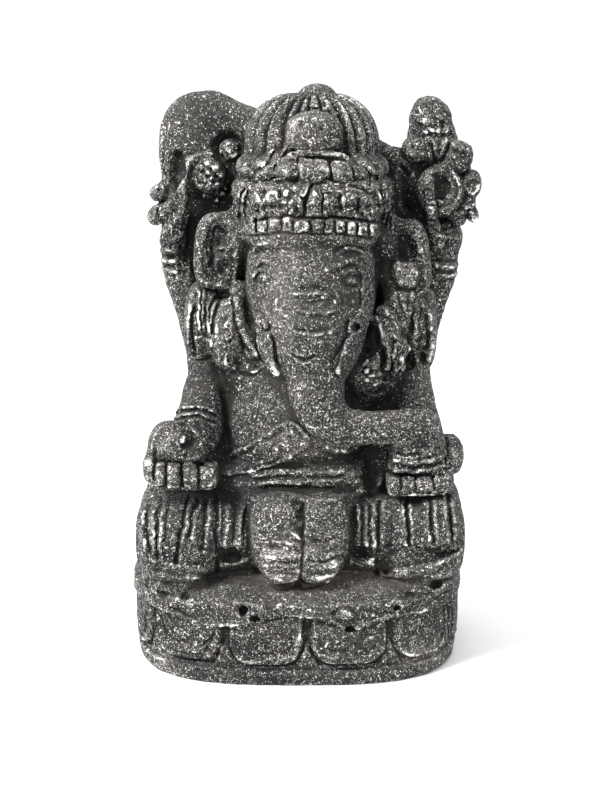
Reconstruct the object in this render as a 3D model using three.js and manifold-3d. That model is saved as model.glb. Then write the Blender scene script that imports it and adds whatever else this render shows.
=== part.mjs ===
// Seated elephant-headed figure on an oval lotus seat, cast in one piece.
// Millimetres, +Z up. The origin is the middle of the flat underside, the figure faces -Y.
import * as THREE from 'three';
import { mergeVertices } from 'three/addons/utils/BufferGeometryUtils.js';
import Module from 'manifold-3d';

const wasm = await Module();
wasm.setup();
const { Manifold, Mesh: SolidMesh } = wasm;

// ---------------------------------------------------------------- driving dimensions
const HEIGHT = 400;                        // underside to the top of the crown's knob
const SEAT = {
  halfWidth: 117, halfDepth: 92, square: 2.75,   // plan of the seat, a rounded oval
  rim: 11,                                 // plain foot below the petals
  core: 6,                                 // how far the wall behind the petals stands back
  lipEdge: 46.5, lipTop: 58, top: 70,      // draped lip and the swelling top
  petals: 13, petalTurn: 3.5, petalHalf: 25, petalFoot: 14, petalSwell: 6,
};
const KNEE = { x: 86.5, lean: 2.3, y: -34, z: 89.5, half: [29, 46, 31], power: 3, pleats: 6, cord: 1.9 };
const THIGH = { x: 69.8, lean: 2.5, y: 10, z: 90.6, half: [44, 50, 38] };
const SOLE = { gap: 16, y: -69, z: 100.5, half: [16.4, 14, 27.5] };
const BODY_X = 8;                          // the figure sits a little to one side of the seat's middle
const HEAD = { x: 11.5, y: -8, z: 267.6, half: [48.5, 48, 46] };
const DIADEM = { z: 328, half: [54.5, 51, 14], y: -4, teeth: 13, toothZ: 309.5, petals: 17, petalZ: 344 };
const CAP = { z: 353, y: 6, half: [45.5, 45, 40.5], ribs: 16, groove: 2.6 };
const KNOB = { x: 13, y: 2, z: HEIGHT - 12.5, half: [15.5, 15, 12.5] };
const FINGER = { half: [6, 13, 9] };
const FACETS = 9200;                       // facets kept in all

// ---------------------------------------------------------------- helpers
// A geometry whose corners are welded becomes a solid.
function solid(geometry) {
  geometry.deleteAttribute('normal');
  geometry.deleteAttribute('uv');
  const m = mergeVertices(geometry, 1e-3);
  return new Manifold(new SolidMesh({
    numProp: 3,
    vertProperties: new Float32Array(m.attributes.position.array),
    triVerts: new Uint32Array(m.index.array),
  }));
}

// Moves every corner of a geometry through fn(x, y, z) -> [x, y, z].
function reshape(geometry, fn) {
  const p = geometry.attributes.position;
  for (let i = 0; i < p.count; i++) p.setXYZ(i, ...fn(p.getX(i), p.getY(i), p.getZ(i)));
  return geometry;
}

const rad = THREE.MathUtils.degToRad;
const place = ([x, y, z], [rx, ry, rz] = [0, 0, 0]) => new THREE.Matrix4().compose(
  new THREE.Vector3(x, y, z),
  new THREE.Quaternion().setFromEuler(new THREE.Euler(rad(rx), rad(ry), rad(rz), 'ZYX')),
  new THREE.Vector3(1, 1, 1),
);

// A rounded lump; power above 2 makes it squarer. Its poles point along `poles`.
function lump(at, half, { turn, power = 2, around = 16, along = 10, poles = 'z' } = {}) {
  const g = new THREE.SphereGeometry(1, around, along);
  if (poles === 'z') g.rotateX(Math.PI / 2);
  if (poles === 'x') g.rotateZ(Math.PI / 2);
  reshape(g, (x, y, z) => {
    const s = (Math.abs(x) ** power + Math.abs(y) ** power + Math.abs(z) ** power) ** (-1 / power);
    return [x * s * half[0], y * s * half[1], z * s * half[2]];
  });
  return solid(g.applyMatrix4(place(at, turn)));
}

// A limb, cord or band: a round tube along a smooth line, with rounded ends.
// flat squeezes the section across its second direction.
function limb(points, radii, { sides = 10, steps = 8, caps = 2, flat = 1, up = null } = {}) {
  const curve = new THREE.CatmullRomCurve3(points.map((q) => new THREE.Vector3(...q)), false, 'centripetal');
  const frames = curve.computeFrenetFrames(steps, false);
  const stations = [];
  const radiusAt = (t) => {
    const s = t * (radii.length - 1), i = Math.min(Math.floor(s), radii.length - 2);
    return radii.length === 1 ? radii[0] : THREE.MathUtils.lerp(radii[i], radii[i + 1], s - i);
  };
  for (let i = 0; i <= steps; i++) {
    const centre = curve.getPoint(i / steps), r = radiusAt(i / steps);
    let n = frames.normals[i], b = frames.binormals[i];
    const t = frames.tangents[i];
    if (up) { n = new THREE.Vector3().crossVectors(t, new THREE.Vector3(...up)).normalize(); b = new THREE.Vector3().crossVectors(t, n); }
    const end = i === 0 ? -1 : i === steps ? 1 : 0;
    const rings = [];
    for (let c = caps; c >= 1 && end; c--) {
      const a = (c / (caps + 0.6)) * Math.PI / 2;
      rings.push({ centre: centre.clone().addScaledVector(t, end * r * flat * Math.sin(a)), r: r * Math.cos(a), n, b });
    }
    if (end === -1) stations.push(...rings, { centre, r, n, b });
    else if (end === 1) stations.push({ centre, r, n, b }, ...rings.reverse());
    else stations.push({ centre, r, n, b });
  }
  const last = stations.length - 1;
  const g = new THREE.CylinderGeometry(1, 1, last, sides, last);
  reshape(g, (x, y, z) => {
    const s = stations[Math.round(last / 2 - y)];
    const q = s.centre.clone().addScaledVector(s.n, x * s.r).addScaledVector(s.b, -z * s.r * flat);
    return [q.x, q.y, q.z];
  });
  const m = solid(g);
  if (m.volume() >= 0) return m;
  // the section's two directions were left-handed: turn the faces over
  const index = g.index.array;
  for (let i = 0; i < index.length; i += 3) [index[i], index[i + 1]] = [index[i + 1], index[i]];
  return solid(g);
}

// Point on an oval of the given power round (cx, cy), seen from its middle at angle th.
function onOval([cx, cy], halfX, halfY, e, th, z, off = 0) {
  const sx = Math.sin(th), sy = -Math.cos(th);
  const r = ((Math.abs(sx) / halfX) ** e + (Math.abs(sy) / halfY) ** e) ** (-1 / e);
  const nx = Math.sign(sx) * Math.abs(sx * r / halfX) ** (e - 1) / halfX;
  const ny = Math.sign(sy) * Math.abs(sy * r / halfY) ** (e - 1) / halfY;
  const n = Math.hypot(nx, ny);
  return [cx + sx * r + nx / n * off, cy + sy * r + ny / n * off, z];
}

// ---------------------------------------------------------------- the seat
// Point on the seat's wall at angle th (0 at the front, growing towards +X), off mm outside it.
function onSeat(th, z, off = 0) {
  return onOval([0, 0], SEAT.halfWidth, SEAT.halfDepth, SEAT.square, th, z, off);
}
// Height of the lip's lower edge: shallow hanging folds.
function lipEdge(th) {
  const dip = (mid, width, drop) => {
    const d = THREE.MathUtils.euclideanModulo(THREE.MathUtils.radToDeg(th) - mid + 180, 360) - 180;
    return drop * Math.exp(-((d / width) ** 2));
  };
  const back = Math.cos(th) < -0.1 ? 3 * Math.cos(13 * th) : 0;
  return SEAT.lipEdge + dip(-26, 11, -5) + dip(-2, 9, 4) + dip(19, 7, -6.5) + dip(36, 8, 1) + dip(-62, 10, 3) + dip(75, 14, 4) + back;
}
// A closed drum through rings of (z, off), all round the plan; z may be a function of the angle.
function drum(rings, sides) {
  const last = rings.length - 1;
  const g = new THREE.CylinderGeometry(1, 1, last, sides, last);
  return solid(reshape(g, (x, y, z) => {
    const ring = rings[Math.round(last / 2 - y)];
    if (Math.hypot(x, z) < 0.5) return [0, 0, typeof ring.z === 'function' ? ring.mid : ring.z];
    const th = Math.atan2(x, z);
    return onSeat(th, typeof ring.z === 'function' ? ring.z(th) : ring.z, ring.off);
  }));
}

const parts = [];
// wall, with its plain foot rim
parts.push(drum([
  { z: SEAT.lipTop - 4, off: -SEAT.core },
  { z: SEAT.rim + 1.5, off: -SEAT.core },
  { z: SEAT.rim, off: 0 },
  { z: 2.5, off: 0 },
  { z: 0, off: -2 },
], 64));
// draped lip and the top that swells up to the figure
parts.push(drum([
  { z: SEAT.top, off: -50 },
  { z: SEAT.top - 4, off: -30 },
  { z: SEAT.lipTop + 3.5, off: -8 },
  { z: SEAT.lipTop, off: 0 },
  { z: SEAT.lipTop - 3, off: 0.8 },
  { z: lipEdge, mid: SEAT.lipEdge, off: 0.8 },
  { z: (th) => lipEdge(th) - 1, mid: SEAT.lipEdge - 1, off: -SEAT.core - 2 },
], 72));
// petals, pillowed and bent to the wall
const stepAngle = 2 * Math.PI / SEAT.petals;
for (let k = 0; k < SEAT.petals; k++) {
  const mid = rad(SEAT.petalTurn) + (k + 0.5) * stepAngle;
  const [mx, my] = onSeat(mid, 0);
  const reach = Math.hypot(mx, my);
  const top = SEAT.lipTop - 4, foot = SEAT.petalFoot;
  const g = new THREE.SphereGeometry(1, 14, 6).rotateX(0);
  parts.push(solid(reshape(g, (x, y, z) => {
    const e = 3.4, s = (Math.abs(x) ** e + Math.abs(y) ** e + Math.abs(z) ** e) ** (-1 / e);
    return onSeat(mid + x * s * SEAT.petalHalf / reach, (top + foot) / 2 + y * s * (top - foot) / 2, -SEAT.core - 0.5 + z * s * SEAT.petalSwell);
  })));
  // the small leaf that shows between two petals
  const [lx, ly] = onSeat(mid + stepAngle / 2, SEAT.rim + 6, -SEAT.core);
  parts.push(lump([lx, ly, SEAT.rim + 7], [3.6, 3.6, 11], { around: 6, along: 6 }));
}

// ---------------------------------------------------------------- legs and lap
parts.push(lump([0, 22, 88.4], [86, 52, 36], { power: 2.4, around: 22, along: 10 }));
for (const side of [-1, 1]) {
  const kx = side * KNEE.x + KNEE.lean, { half, power } = KNEE;
  parts.push(lump([kx, KNEE.y, KNEE.z], half, { power, around: 20, along: 12, poles: 'x' }));
  parts.push(lump([side * THIGH.x + THIGH.lean, THIGH.y, THIGH.z], THIGH.half, { power: 2.4, around: 16, along: 10 }));
  // the robe over the shins
  parts.push(limb([[side * 72 + 2, -44, 93], [side * 50 + 2, -42, 93.2], [side * 24, -40, 93.2]], [28, 27, 25], { sides: 14, steps: 4 }));
  // its pleats, cords over the front of the knee
  for (let i = 0; i < KNEE.pleats; i++) {
    const dx = -half[0] * 0.86 + i * half[0] * 1.72 / (KNEE.pleats - 1);
    const s = (1 - (Math.abs(dx) / half[0]) ** power) ** (1 / power);
    const line = [];
    for (let a = -48; a <= 64; a += 16) {
      const c = Math.cos(rad(a)), q = Math.sin(rad(a));
      const n = (Math.abs(c) ** power + Math.abs(q) ** power) ** (-1 / power);
      line.push([kx + dx, KNEE.y - half[1] * s * c * n, KNEE.z + half[2] * s * q * n]);
    }
    parts.push(limb(line, [KNEE.cord * 0.6, KNEE.cord, KNEE.cord, KNEE.cord * 0.7], { sides: 6, steps: 8, caps: 1 }));
  }
  // narrow folds between knee and foot
  for (let i = 0; i < 3; i++) {
    const x = side * (38 + i * 7) + 1;
    parts.push(limb([[x, -62, 118], [x, -70, 100], [x, -67, 80]], [1.6, 2.4, 1.8], { sides: 6, steps: 5, caps: 1 }));
  }
  // the two soles, pressed together, and the toes below
  parts.push(lump([side * SOLE.gap - 0.5, SOLE.y, SOLE.z], SOLE.half, { turn: [10, side * 5, 0], power: 2.4, around: 14, along: 12 }));
  parts.push(lump([side * 10 - 0.5, SOLE.y - 5.5, SOLE.z - 15.5], [11.5, 10, 14], { turn: [20, side * 14, 0], around: 10, along: 8 }));
}
// folds of cloth across the lap
parts.push(lump([2, -22, 128], [58, 36, 20], { power: 2.6, around: 18, along: 8 }));
for (const [z, y] of [[140, -50], [132, -54]]) parts.push(limb([[-50, y + 14, z], [-26, y + 2, z - 1], [2, y - 1, z - 1.5], [30, y + 2, z - 1], [54, y + 14, z]], [3, 4, 4, 3], { sides: 6, steps: 8, caps: 1 }));

// ---------------------------------------------------------------- body
parts.push(lump([-0.7, -8, 162.3], [54, 47, 46], { around: 20, along: 12 }));
parts.push(lump([BODY_X + 2.6, 2, 200.1], [66, 42, 42], { around: 20, along: 10 }));
parts.push(lump([BODY_X - 1.5, 24, 173], [72, 38, 86], { power: 2.5, around: 20, along: 12 }));
parts.push(lump([BODY_X + 2.8, 20, 218.2], [76, 34, 40], { power: 2.4, around: 20, along: 10 }));
// what fills in behind the head and the raised arms
parts.push(limb([[-60.5, 34, 324], [-58.8, 34, 281], [-54.3, 34, 237.6], [-47.4, 32, 193.6]], [33, 31, 28, 26], { sides: 12, steps: 6, flat: 0.46, up: [0, 1, 0] }));
parts.push(limb([[86.1, 34, 324], [82.5, 34, 281], [76, 34, 237.6], [69.3, 32, 193.6]], [31, 30, 27, 25], { sides: 12, steps: 6, flat: 0.48, up: [0, 1, 0] }));
parts.push(lump([HEAD.x, 33, 285], [74, 18, 84], { power: 2.8, around: 18, along: 10 }));
parts.push(lump([-36.5, 26, 353], [30, 18, 30], { around: 12, along: 8 }));
parts.push(lump([64.2, 26, 332], [30, 16, 34], { around: 12, along: 8 }));
// the cord and sash over the belly
parts.push(limb([[-48, -34, 144.6], [-31, -44, 154.6], [-14.9, -51, 165.6], [2, -54, 174]], [6, 8.5, 9.5, 8], { sides: 8, steps: 6, flat: 0.55, up: [0, 1, 0.3] }));
parts.push(limb([[4, -52, 165], [18, -54, 159], [40, -47, 155.5]], [6, 6.5, 5], { sides: 8, steps: 5 }));

// ---------------------------------------------------------------- head and trunk
parts.push(lump([HEAD.x, HEAD.y, HEAD.z], HEAD.half, { power: 2.5, around: 24, along: 12 }));
parts.push(limb([
  [11.7, -22, 265], [11.3, -30, 247.6], [11.2, -38, 235.2], [12.5, -46, 223], [12.8, -53, 210.7], [13.1, -58, 198],
  [16.8, -61, 186.2], [27.6, -63, 176.3], [45.1, -63, 174.2], [68.2, -61, 174.4], [86.1, -56, 173.9],
], [41, 39.5, 35, 27, 20.5, 18.7, 16.5, 14, 11.5, 11.5, 11.5], { sides: 16, steps: 20, up: [1, 0.15, 0.35] }));
// creases across the trunk's root
for (const [z, y, w] of [[266, -62.5, 16], [253.5, -66.5, 19], [238, -69, 16]]) {
  parts.push(limb([[HEAD.x - w, y + 7, z + 1], [HEAD.x, y, z], [HEAD.x + w, y + 7, z + 1]], [1.4, 2.8, 1.4], { sides: 6, steps: 6, caps: 1 }));
}
for (const side of [-1, 1]) {
  const x = HEAD.x - 3.5;
  // eyes under their lids, with the brow above
  parts.push(lump([x + side * 30.8, -49, 274], [7, 5.5, 4.6], { around: 10, along: 8 }));
  parts.push(limb([[x + side * 40, -41, 279], [x + side * 31, -50, 282], [x + side * 21, -55, 277]], [1.4, 2, 1.3], { sides: 6, steps: 5, caps: 1 }));
  parts.push(limb([[x + side * 41, -43, 288], [x + side * 31, -51, 294], [x + side * 20, -55, 290]], [1.8, 2.8, 1.6], { sides: 6, steps: 5, caps: 1 }));
  // tusk in its socket
  parts.push(lump([x + side * 31.4, -52, 244], [5.5, 6, 7], { around: 8, along: 6 }));
  parts.push(limb([[x + side * 30.8, -55, 240], [x + side * 26.5, -59, 226], [x + side * 21.5, -60, 212]], [4.6, 4.4, 2], { sides: 8, steps: 5 }));
}

// ---------------------------------------------------------------- crown
parts.push(lump([HEAD.x - 1.2, DIADEM.y, DIADEM.z], DIADEM.half, { power: 3.4, around: 28, along: 8 }));
// the band of teeth under the diadem, set on the brow
parts.push(lump([HEAD.x - 1, -6, DIADEM.toothZ - 1], [48.5, 46.5, 15], { power: 3, around: 24, along: 6 }));
for (let i = 0; i < DIADEM.teeth; i++) {
  const a = rad(-72 + i * 144 / (DIADEM.teeth - 1));
  const at = onOval([HEAD.x - 1, -6], 48.5, 46.5, 3, a, DIADEM.toothZ + 1, -0.5);
  parts.push(solid(new THREE.BoxGeometry(6.4, 7, 13).applyMatrix4(place(at, [0, 0, THREE.MathUtils.radToDeg(a)]))));
}
// upright petals above the diadem, all the way round
for (let i = 0; i < DIADEM.petals; i++) {
  const a = 2 * Math.PI * i / DIADEM.petals;
  const at = onOval([HEAD.x - 1, 1], 46, 44, 2.4, a, DIADEM.petalZ);
  parts.push(lump(at, [8.6, 5.5, 11], { turn: [-10, 0, THREE.MathUtils.radToDeg(a)], power: 2.6, around: 8, along: 6 }));
}
// rosettes on the diadem
for (let i = 0; i < 9; i++) {
  const a = rad(-68 + i * 17);
  const at = onOval([HEAD.x - 1.2, DIADEM.y], DIADEM.half[0], DIADEM.half[1], 3.4, a, DIADEM.z, -0.5);
  parts.push(lump(at, [6, 3.6, 8], { turn: [0, 0, THREE.MathUtils.radToDeg(a)], around: 8, along: 6 }));
}
// the ribbed cap
{
  const g = new THREE.SphereGeometry(1, CAP.ribs * 3, 9).rotateX(Math.PI / 2);
  parts.push(solid(reshape(g, (x, y, z) => {
    const p = 2.5, s = (Math.abs(x) ** p + Math.abs(y) ** p + Math.abs(z) ** p) ** (-1 / p);
    const k = Math.round((Math.atan2(y, x) / (2 * Math.PI) + 1) * CAP.ribs * 3) % 3;
    const out = Math.hypot(x, y), f = k === 0 && out > 0.25 ? 1 - CAP.groove / CAP.half[0] : 1;
    return [HEAD.x - 1 + x * s * CAP.half[0] * f, CAP.y + y * s * CAP.half[1] * f, CAP.z + z * s * CAP.half[2]];
  })));
}
parts.push(lump([KNOB.x, KNOB.y, KNOB.z], KNOB.half, { around: 14, along: 8 }));
parts.push(lump([HEAD.x - 0.2, -36, 370.7], [18.5, 12, 14], { power: 2.4, around: 14, along: 8 }));
parts.push(limb([[HEAD.x - 19, -38, 352.5], [HEAD.x, -43, 352.5], [HEAD.x + 19, -38, 352.5]], [3, 3.4, 3], { sides: 6, steps: 5, caps: 1 }));
parts.push(lump([HEAD.x - 25.5, -33, 351], [8, 6, 5], { turn: [0, -28, 0], around: 8, along: 6 }));
parts.push(lump([HEAD.x + 27, -33, 349], [9, 6, 5], { turn: [0, 30, 0], around: 8, along: 6 }));

// ---------------------------------------------------------------- ears and tresses
const EARS = [
  { side: -1, at: [-54.5, -10, 287.4], half: [16.5, 7, 27], turn: [0, 5, 14], rim: [[-42, -16, 314], [-54, -19, 315], [-64.5, -18, 303], [-68, -17, 287], [-69.5, -16, 271], [-60, -17, 263.5], [-44, -16, 261.5]] },
  { side: 1, at: [78.7, -10, 281.8], half: [13.5, 7, 27], turn: [0, -7, -14], rim: [[66, -16, 312], [75, -19, 309.5], [83.5, -18, 304], [88, -17, 291], [91, -16, 271], [88, -17, 261.5], [76, -16, 259]] },
];
for (const ear of EARS) {
  parts.push(lump(ear.at, ear.half, { turn: ear.turn, power: 2.9, around: 12, along: 10 }));
  parts.push(lump([HEAD.x + ear.side * 54, 2, 283], [13, 16, 24], { around: 10, along: 8 }));
  parts.push(limb(ear.rim, [3, 3.6, 3.6, 3.4, 3.2], { sides: 6, steps: 10, caps: 1 }));
}
const TRESSES = [
  { at: [-66.9, 2, 237.6], half: [12.5, 18, 27], turn: [0, 4, 0] },
  { at: [-46.1, -10, 227.7], half: [16.5, 17, 26], turn: [0, -8, 0] },
  { at: [70.6, -6, 239], half: [15, 17, 24], turn: [0, -4, 0] },
  { at: [89.9, 6, 231.8], half: [8.5, 16, 26], turn: [0, 4, 0] },
  { at: [59.2, -14, 221.4], half: [13, 14, 26], turn: [0, 12, 0] },
  { at: [44.9, -30, 201.4], half: [14, 12, 12], turn: [0, 0, 0] },
];
for (const t of TRESSES) parts.push(lump(t.at, t.half, { turn: t.turn, power: 2.5, around: 12, along: 8 }));
const STRANDS = [
  { line: [[-74, -9, 254], [-77, -9, 236], [-74, -9, 217]], r: 2.8 },
  { line: [[-66, -15, 258], [-67.5, -17.5, 243], [-66, -18, 226]], r: 4.4 },
  { line: [[-52, -20, 254], [-54, -27, 238], [-50, -28, 222], [-43, -28, 209]], r: 5 },
  { line: [[-39, -22, 260], [-37, -27, 245], [-31, -33, 230], [-24, -36, 216]], r: 5 },
  { line: [[59.7, -26, 245], [61.8, -30, 228], [56, -31, 214], [47, -34, 206]], r: 5 },
  { line: [[69, -20, 260], [70, -25, 247], [72, -25, 228]], r: 6 },
  { line: [[85.6, -8, 254], [88, -11, 240], [84.6, -11, 223]], r: 4.6 },
  { line: [[93, 0, 243], [94.5, 0, 226], [93, 0, 209]], r: 3.2 },
];
for (const s of STRANDS) parts.push(limb(s.line, [s.r * 0.9, s.r, s.r * 0.8], { sides: 7, steps: 5 }));

// ---------------------------------------------------------------- front arms
parts.push(limb([[-63.1, 4, 212.7], [-63.8, 0, 196.9], [-66.5, -6, 183]], [15.5, 14.5, 16], { sides: 10, steps: 4 }));
parts.push(limb([[-66.5, -6, 183], [-68.8, -30, 167.9], [-76, -50, 155.4]], [16, 18, 15], { sides: 12, steps: 4 }));
parts.push(lump([-82, -50, 158.5], [18, 15, 14.5], { turn: [0, 30, 0], power: 2.3, around: 12, along: 8 }));
[[-100, 144], [-94, 141.4], [-83.6, 140.9], [-72.5, 138.9], [-60.8, 138.8]].forEach(([x, z], i) => {
  parts.push(lump([x, -62 + 3 * Math.abs(i - 2.2), z], FINGER.half, { power: 2.3, around: 8, along: 6 }));
});
parts.push(limb([[80.1, 4, 212.7], [82.3, 0, 194.7], [84.9, -6, 180.1]], [15, 14.5, 16], { sides: 10, steps: 4 }));
parts.push(limb([[84.9, -6, 180.1], [88.5, -28, 163.8], [87.5, -46, 142.9]], [16, 19, 17], { sides: 12, steps: 4 }));
parts.push(lump([107, -28, 148], [10, 22, 15], { power: 2.3, around: 12, along: 8 }));
// the web of stone left between the arms and the body
for (const side of [-1, 1]) parts.push(limb([[side * 56 + 8, 4, 196], [side * 54 + 6, -4, 168], [side * 52 + 4, -14, 136]], [14, 15, 17], { sides: 10, steps: 4 }));
// the bowl of sweets that the trunk's tip rests in, and the fingers under it
parts.push(lump([81.1, -54, 156.5], [17.5, 15, 12], { power: 2.6, around: 14, along: 8 }));
for (const [z, r] of [[156, 18.5], [150, 19.5]]) parts.push(lump([81.3, -53, z], [r, 16.5, 3], { around: 14, along: 6 }));
[[65.3, 133.2], [75.3, 134.7], [86.3, 136.3], [98.5, 135]].forEach(([x, z], i) => {
  parts.push(lump([x, -60 + 2.5 * Math.abs(i - 1.2), z], [5.6, 13, 6.5], { power: 2.3, around: 8, along: 6 }));
});
// bangles
for (const [at, r, turn] of [
  [[-67, -8, 180], 16.6, [-38, -8, 0]], [[-66.4, -4, 186], 15.8, [-30, -8, 0]],
]) parts.push(solid(new THREE.TorusGeometry(r, 2.2, 5, 16).applyMatrix4(place(at, turn))));

// ---------------------------------------------------------------- raised arms and what they hold
parts.push(limb([[-67, 22, 211.9], [-74.7, 25, 240.6], [-82.1, 25, 268.1], [-84.6, 24, 287.6]], [13, 12, 12, 12.5], { sides: 10, steps: 5 }));
parts.push(limb([[85.7, 22, 211.9], [92, 25, 235.5], [98.8, 25, 257.3], [104.1, 25, 276.8], [107.2, 24, 292.6]], [12.5, 12, 12, 12, 13], { sides: 10, steps: 5 }));
for (const [at, turn] of [[[-83, 25, 272], [0, -14, 0]], [[-84, 25, 279], [0, -10, 0]], [[101.5, 25, 264], [0, 18, 0]], [[103.5, 25, 271], [0, 18, 0]]]) {
  parts.push(solid(new THREE.TorusGeometry(11.6, 2, 5, 14).applyMatrix4(place(at, turn))));
}
// at the figure's right hand: the big curled bud, with a hand laid over it
{
  const bud = lump([-66.5, 24, 357.3], [30.5, 15, 37], { power: 2.3, around: 20, along: 12 })
    .add(limb([[-57.2, 24, 380.7], [-39.6, 18, 372.8], [-24.2, 12, 364.3]], [12, 12, 10], { sides: 10, steps: 4 }));
  parts.push(bud.subtract(lump([-85.5, 10, 336], [7, 8, 16], { turn: [0, 8, 0], around: 10, along: 8 }))
    .subtract(lump([-51, 9, 350.5], [10, 7, 14], { turn: [0, -20, 0], around: 10, along: 8 })));
  parts.push(lump([-47, 14, 347], [7.5, 6, 8], { around: 8, along: 6 }));
  parts.push(limb([[-86.7, 14, 287.6], [-82.3, 8, 309.4], [-77, 6, 330.5], [-69.9, 8, 346.1], [-58.8, 8, 348.9]], [7, 6.5, 5.5, 5, 5], { sides: 8, steps: 8 }));
  parts.push(lump([-63.8, 6, 328.4], [10, 12, 14], { around: 10, along: 8 }));
  parts.push(lump([-96.3, 14, 325.7], [6.3, 8, 6.3], { around: 8, along: 6 }));
  parts.push(limb([[-99.5, 13, 306.9], [-91.5, 10, 312], [-82.9, 8, 315.7]], [7.5, 8, 6], { sides: 8, steps: 4 }));
}
// at the figure's left hand: the flaming disc with its knob, ring and rod
{
  parts.push(lump([93.3, 22, 376], [15.4, 14, 14.5], { around: 12, along: 8 }));
  parts.push(limb([[92.7, 22, 370.5], [94.3, 22, 360.2]], [14, 18], { sides: 10, steps: 2 }));
  parts.push(lump([97.7, 22, 333.8], [28, 13, 30], { power: 2.2, around: 16, along: 10 }));
  for (const [x, y, z, r] of [[83, 16, 353, 8], [111, 18, 350, 8.5], [121, 20, 330, 8.5], [120, 20, 311, 8], [72, 18, 343, 7]]) {
    parts.push(lump([x, y, z], [r, 8, r], { around: 8, along: 6 }));
  }
  parts.push(solid(new THREE.TorusGeometry(14, 3.6, 6, 18).applyMatrix4(place([101.5, 10, 327], [90, 0, 0]))));
  parts.push(limb([[92, 8, 336], [92.4, 6, 320], [94.5, 10, 302]], [3.6, 3.6, 3.6], { sides: 6, steps: 3 }));
}

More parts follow.
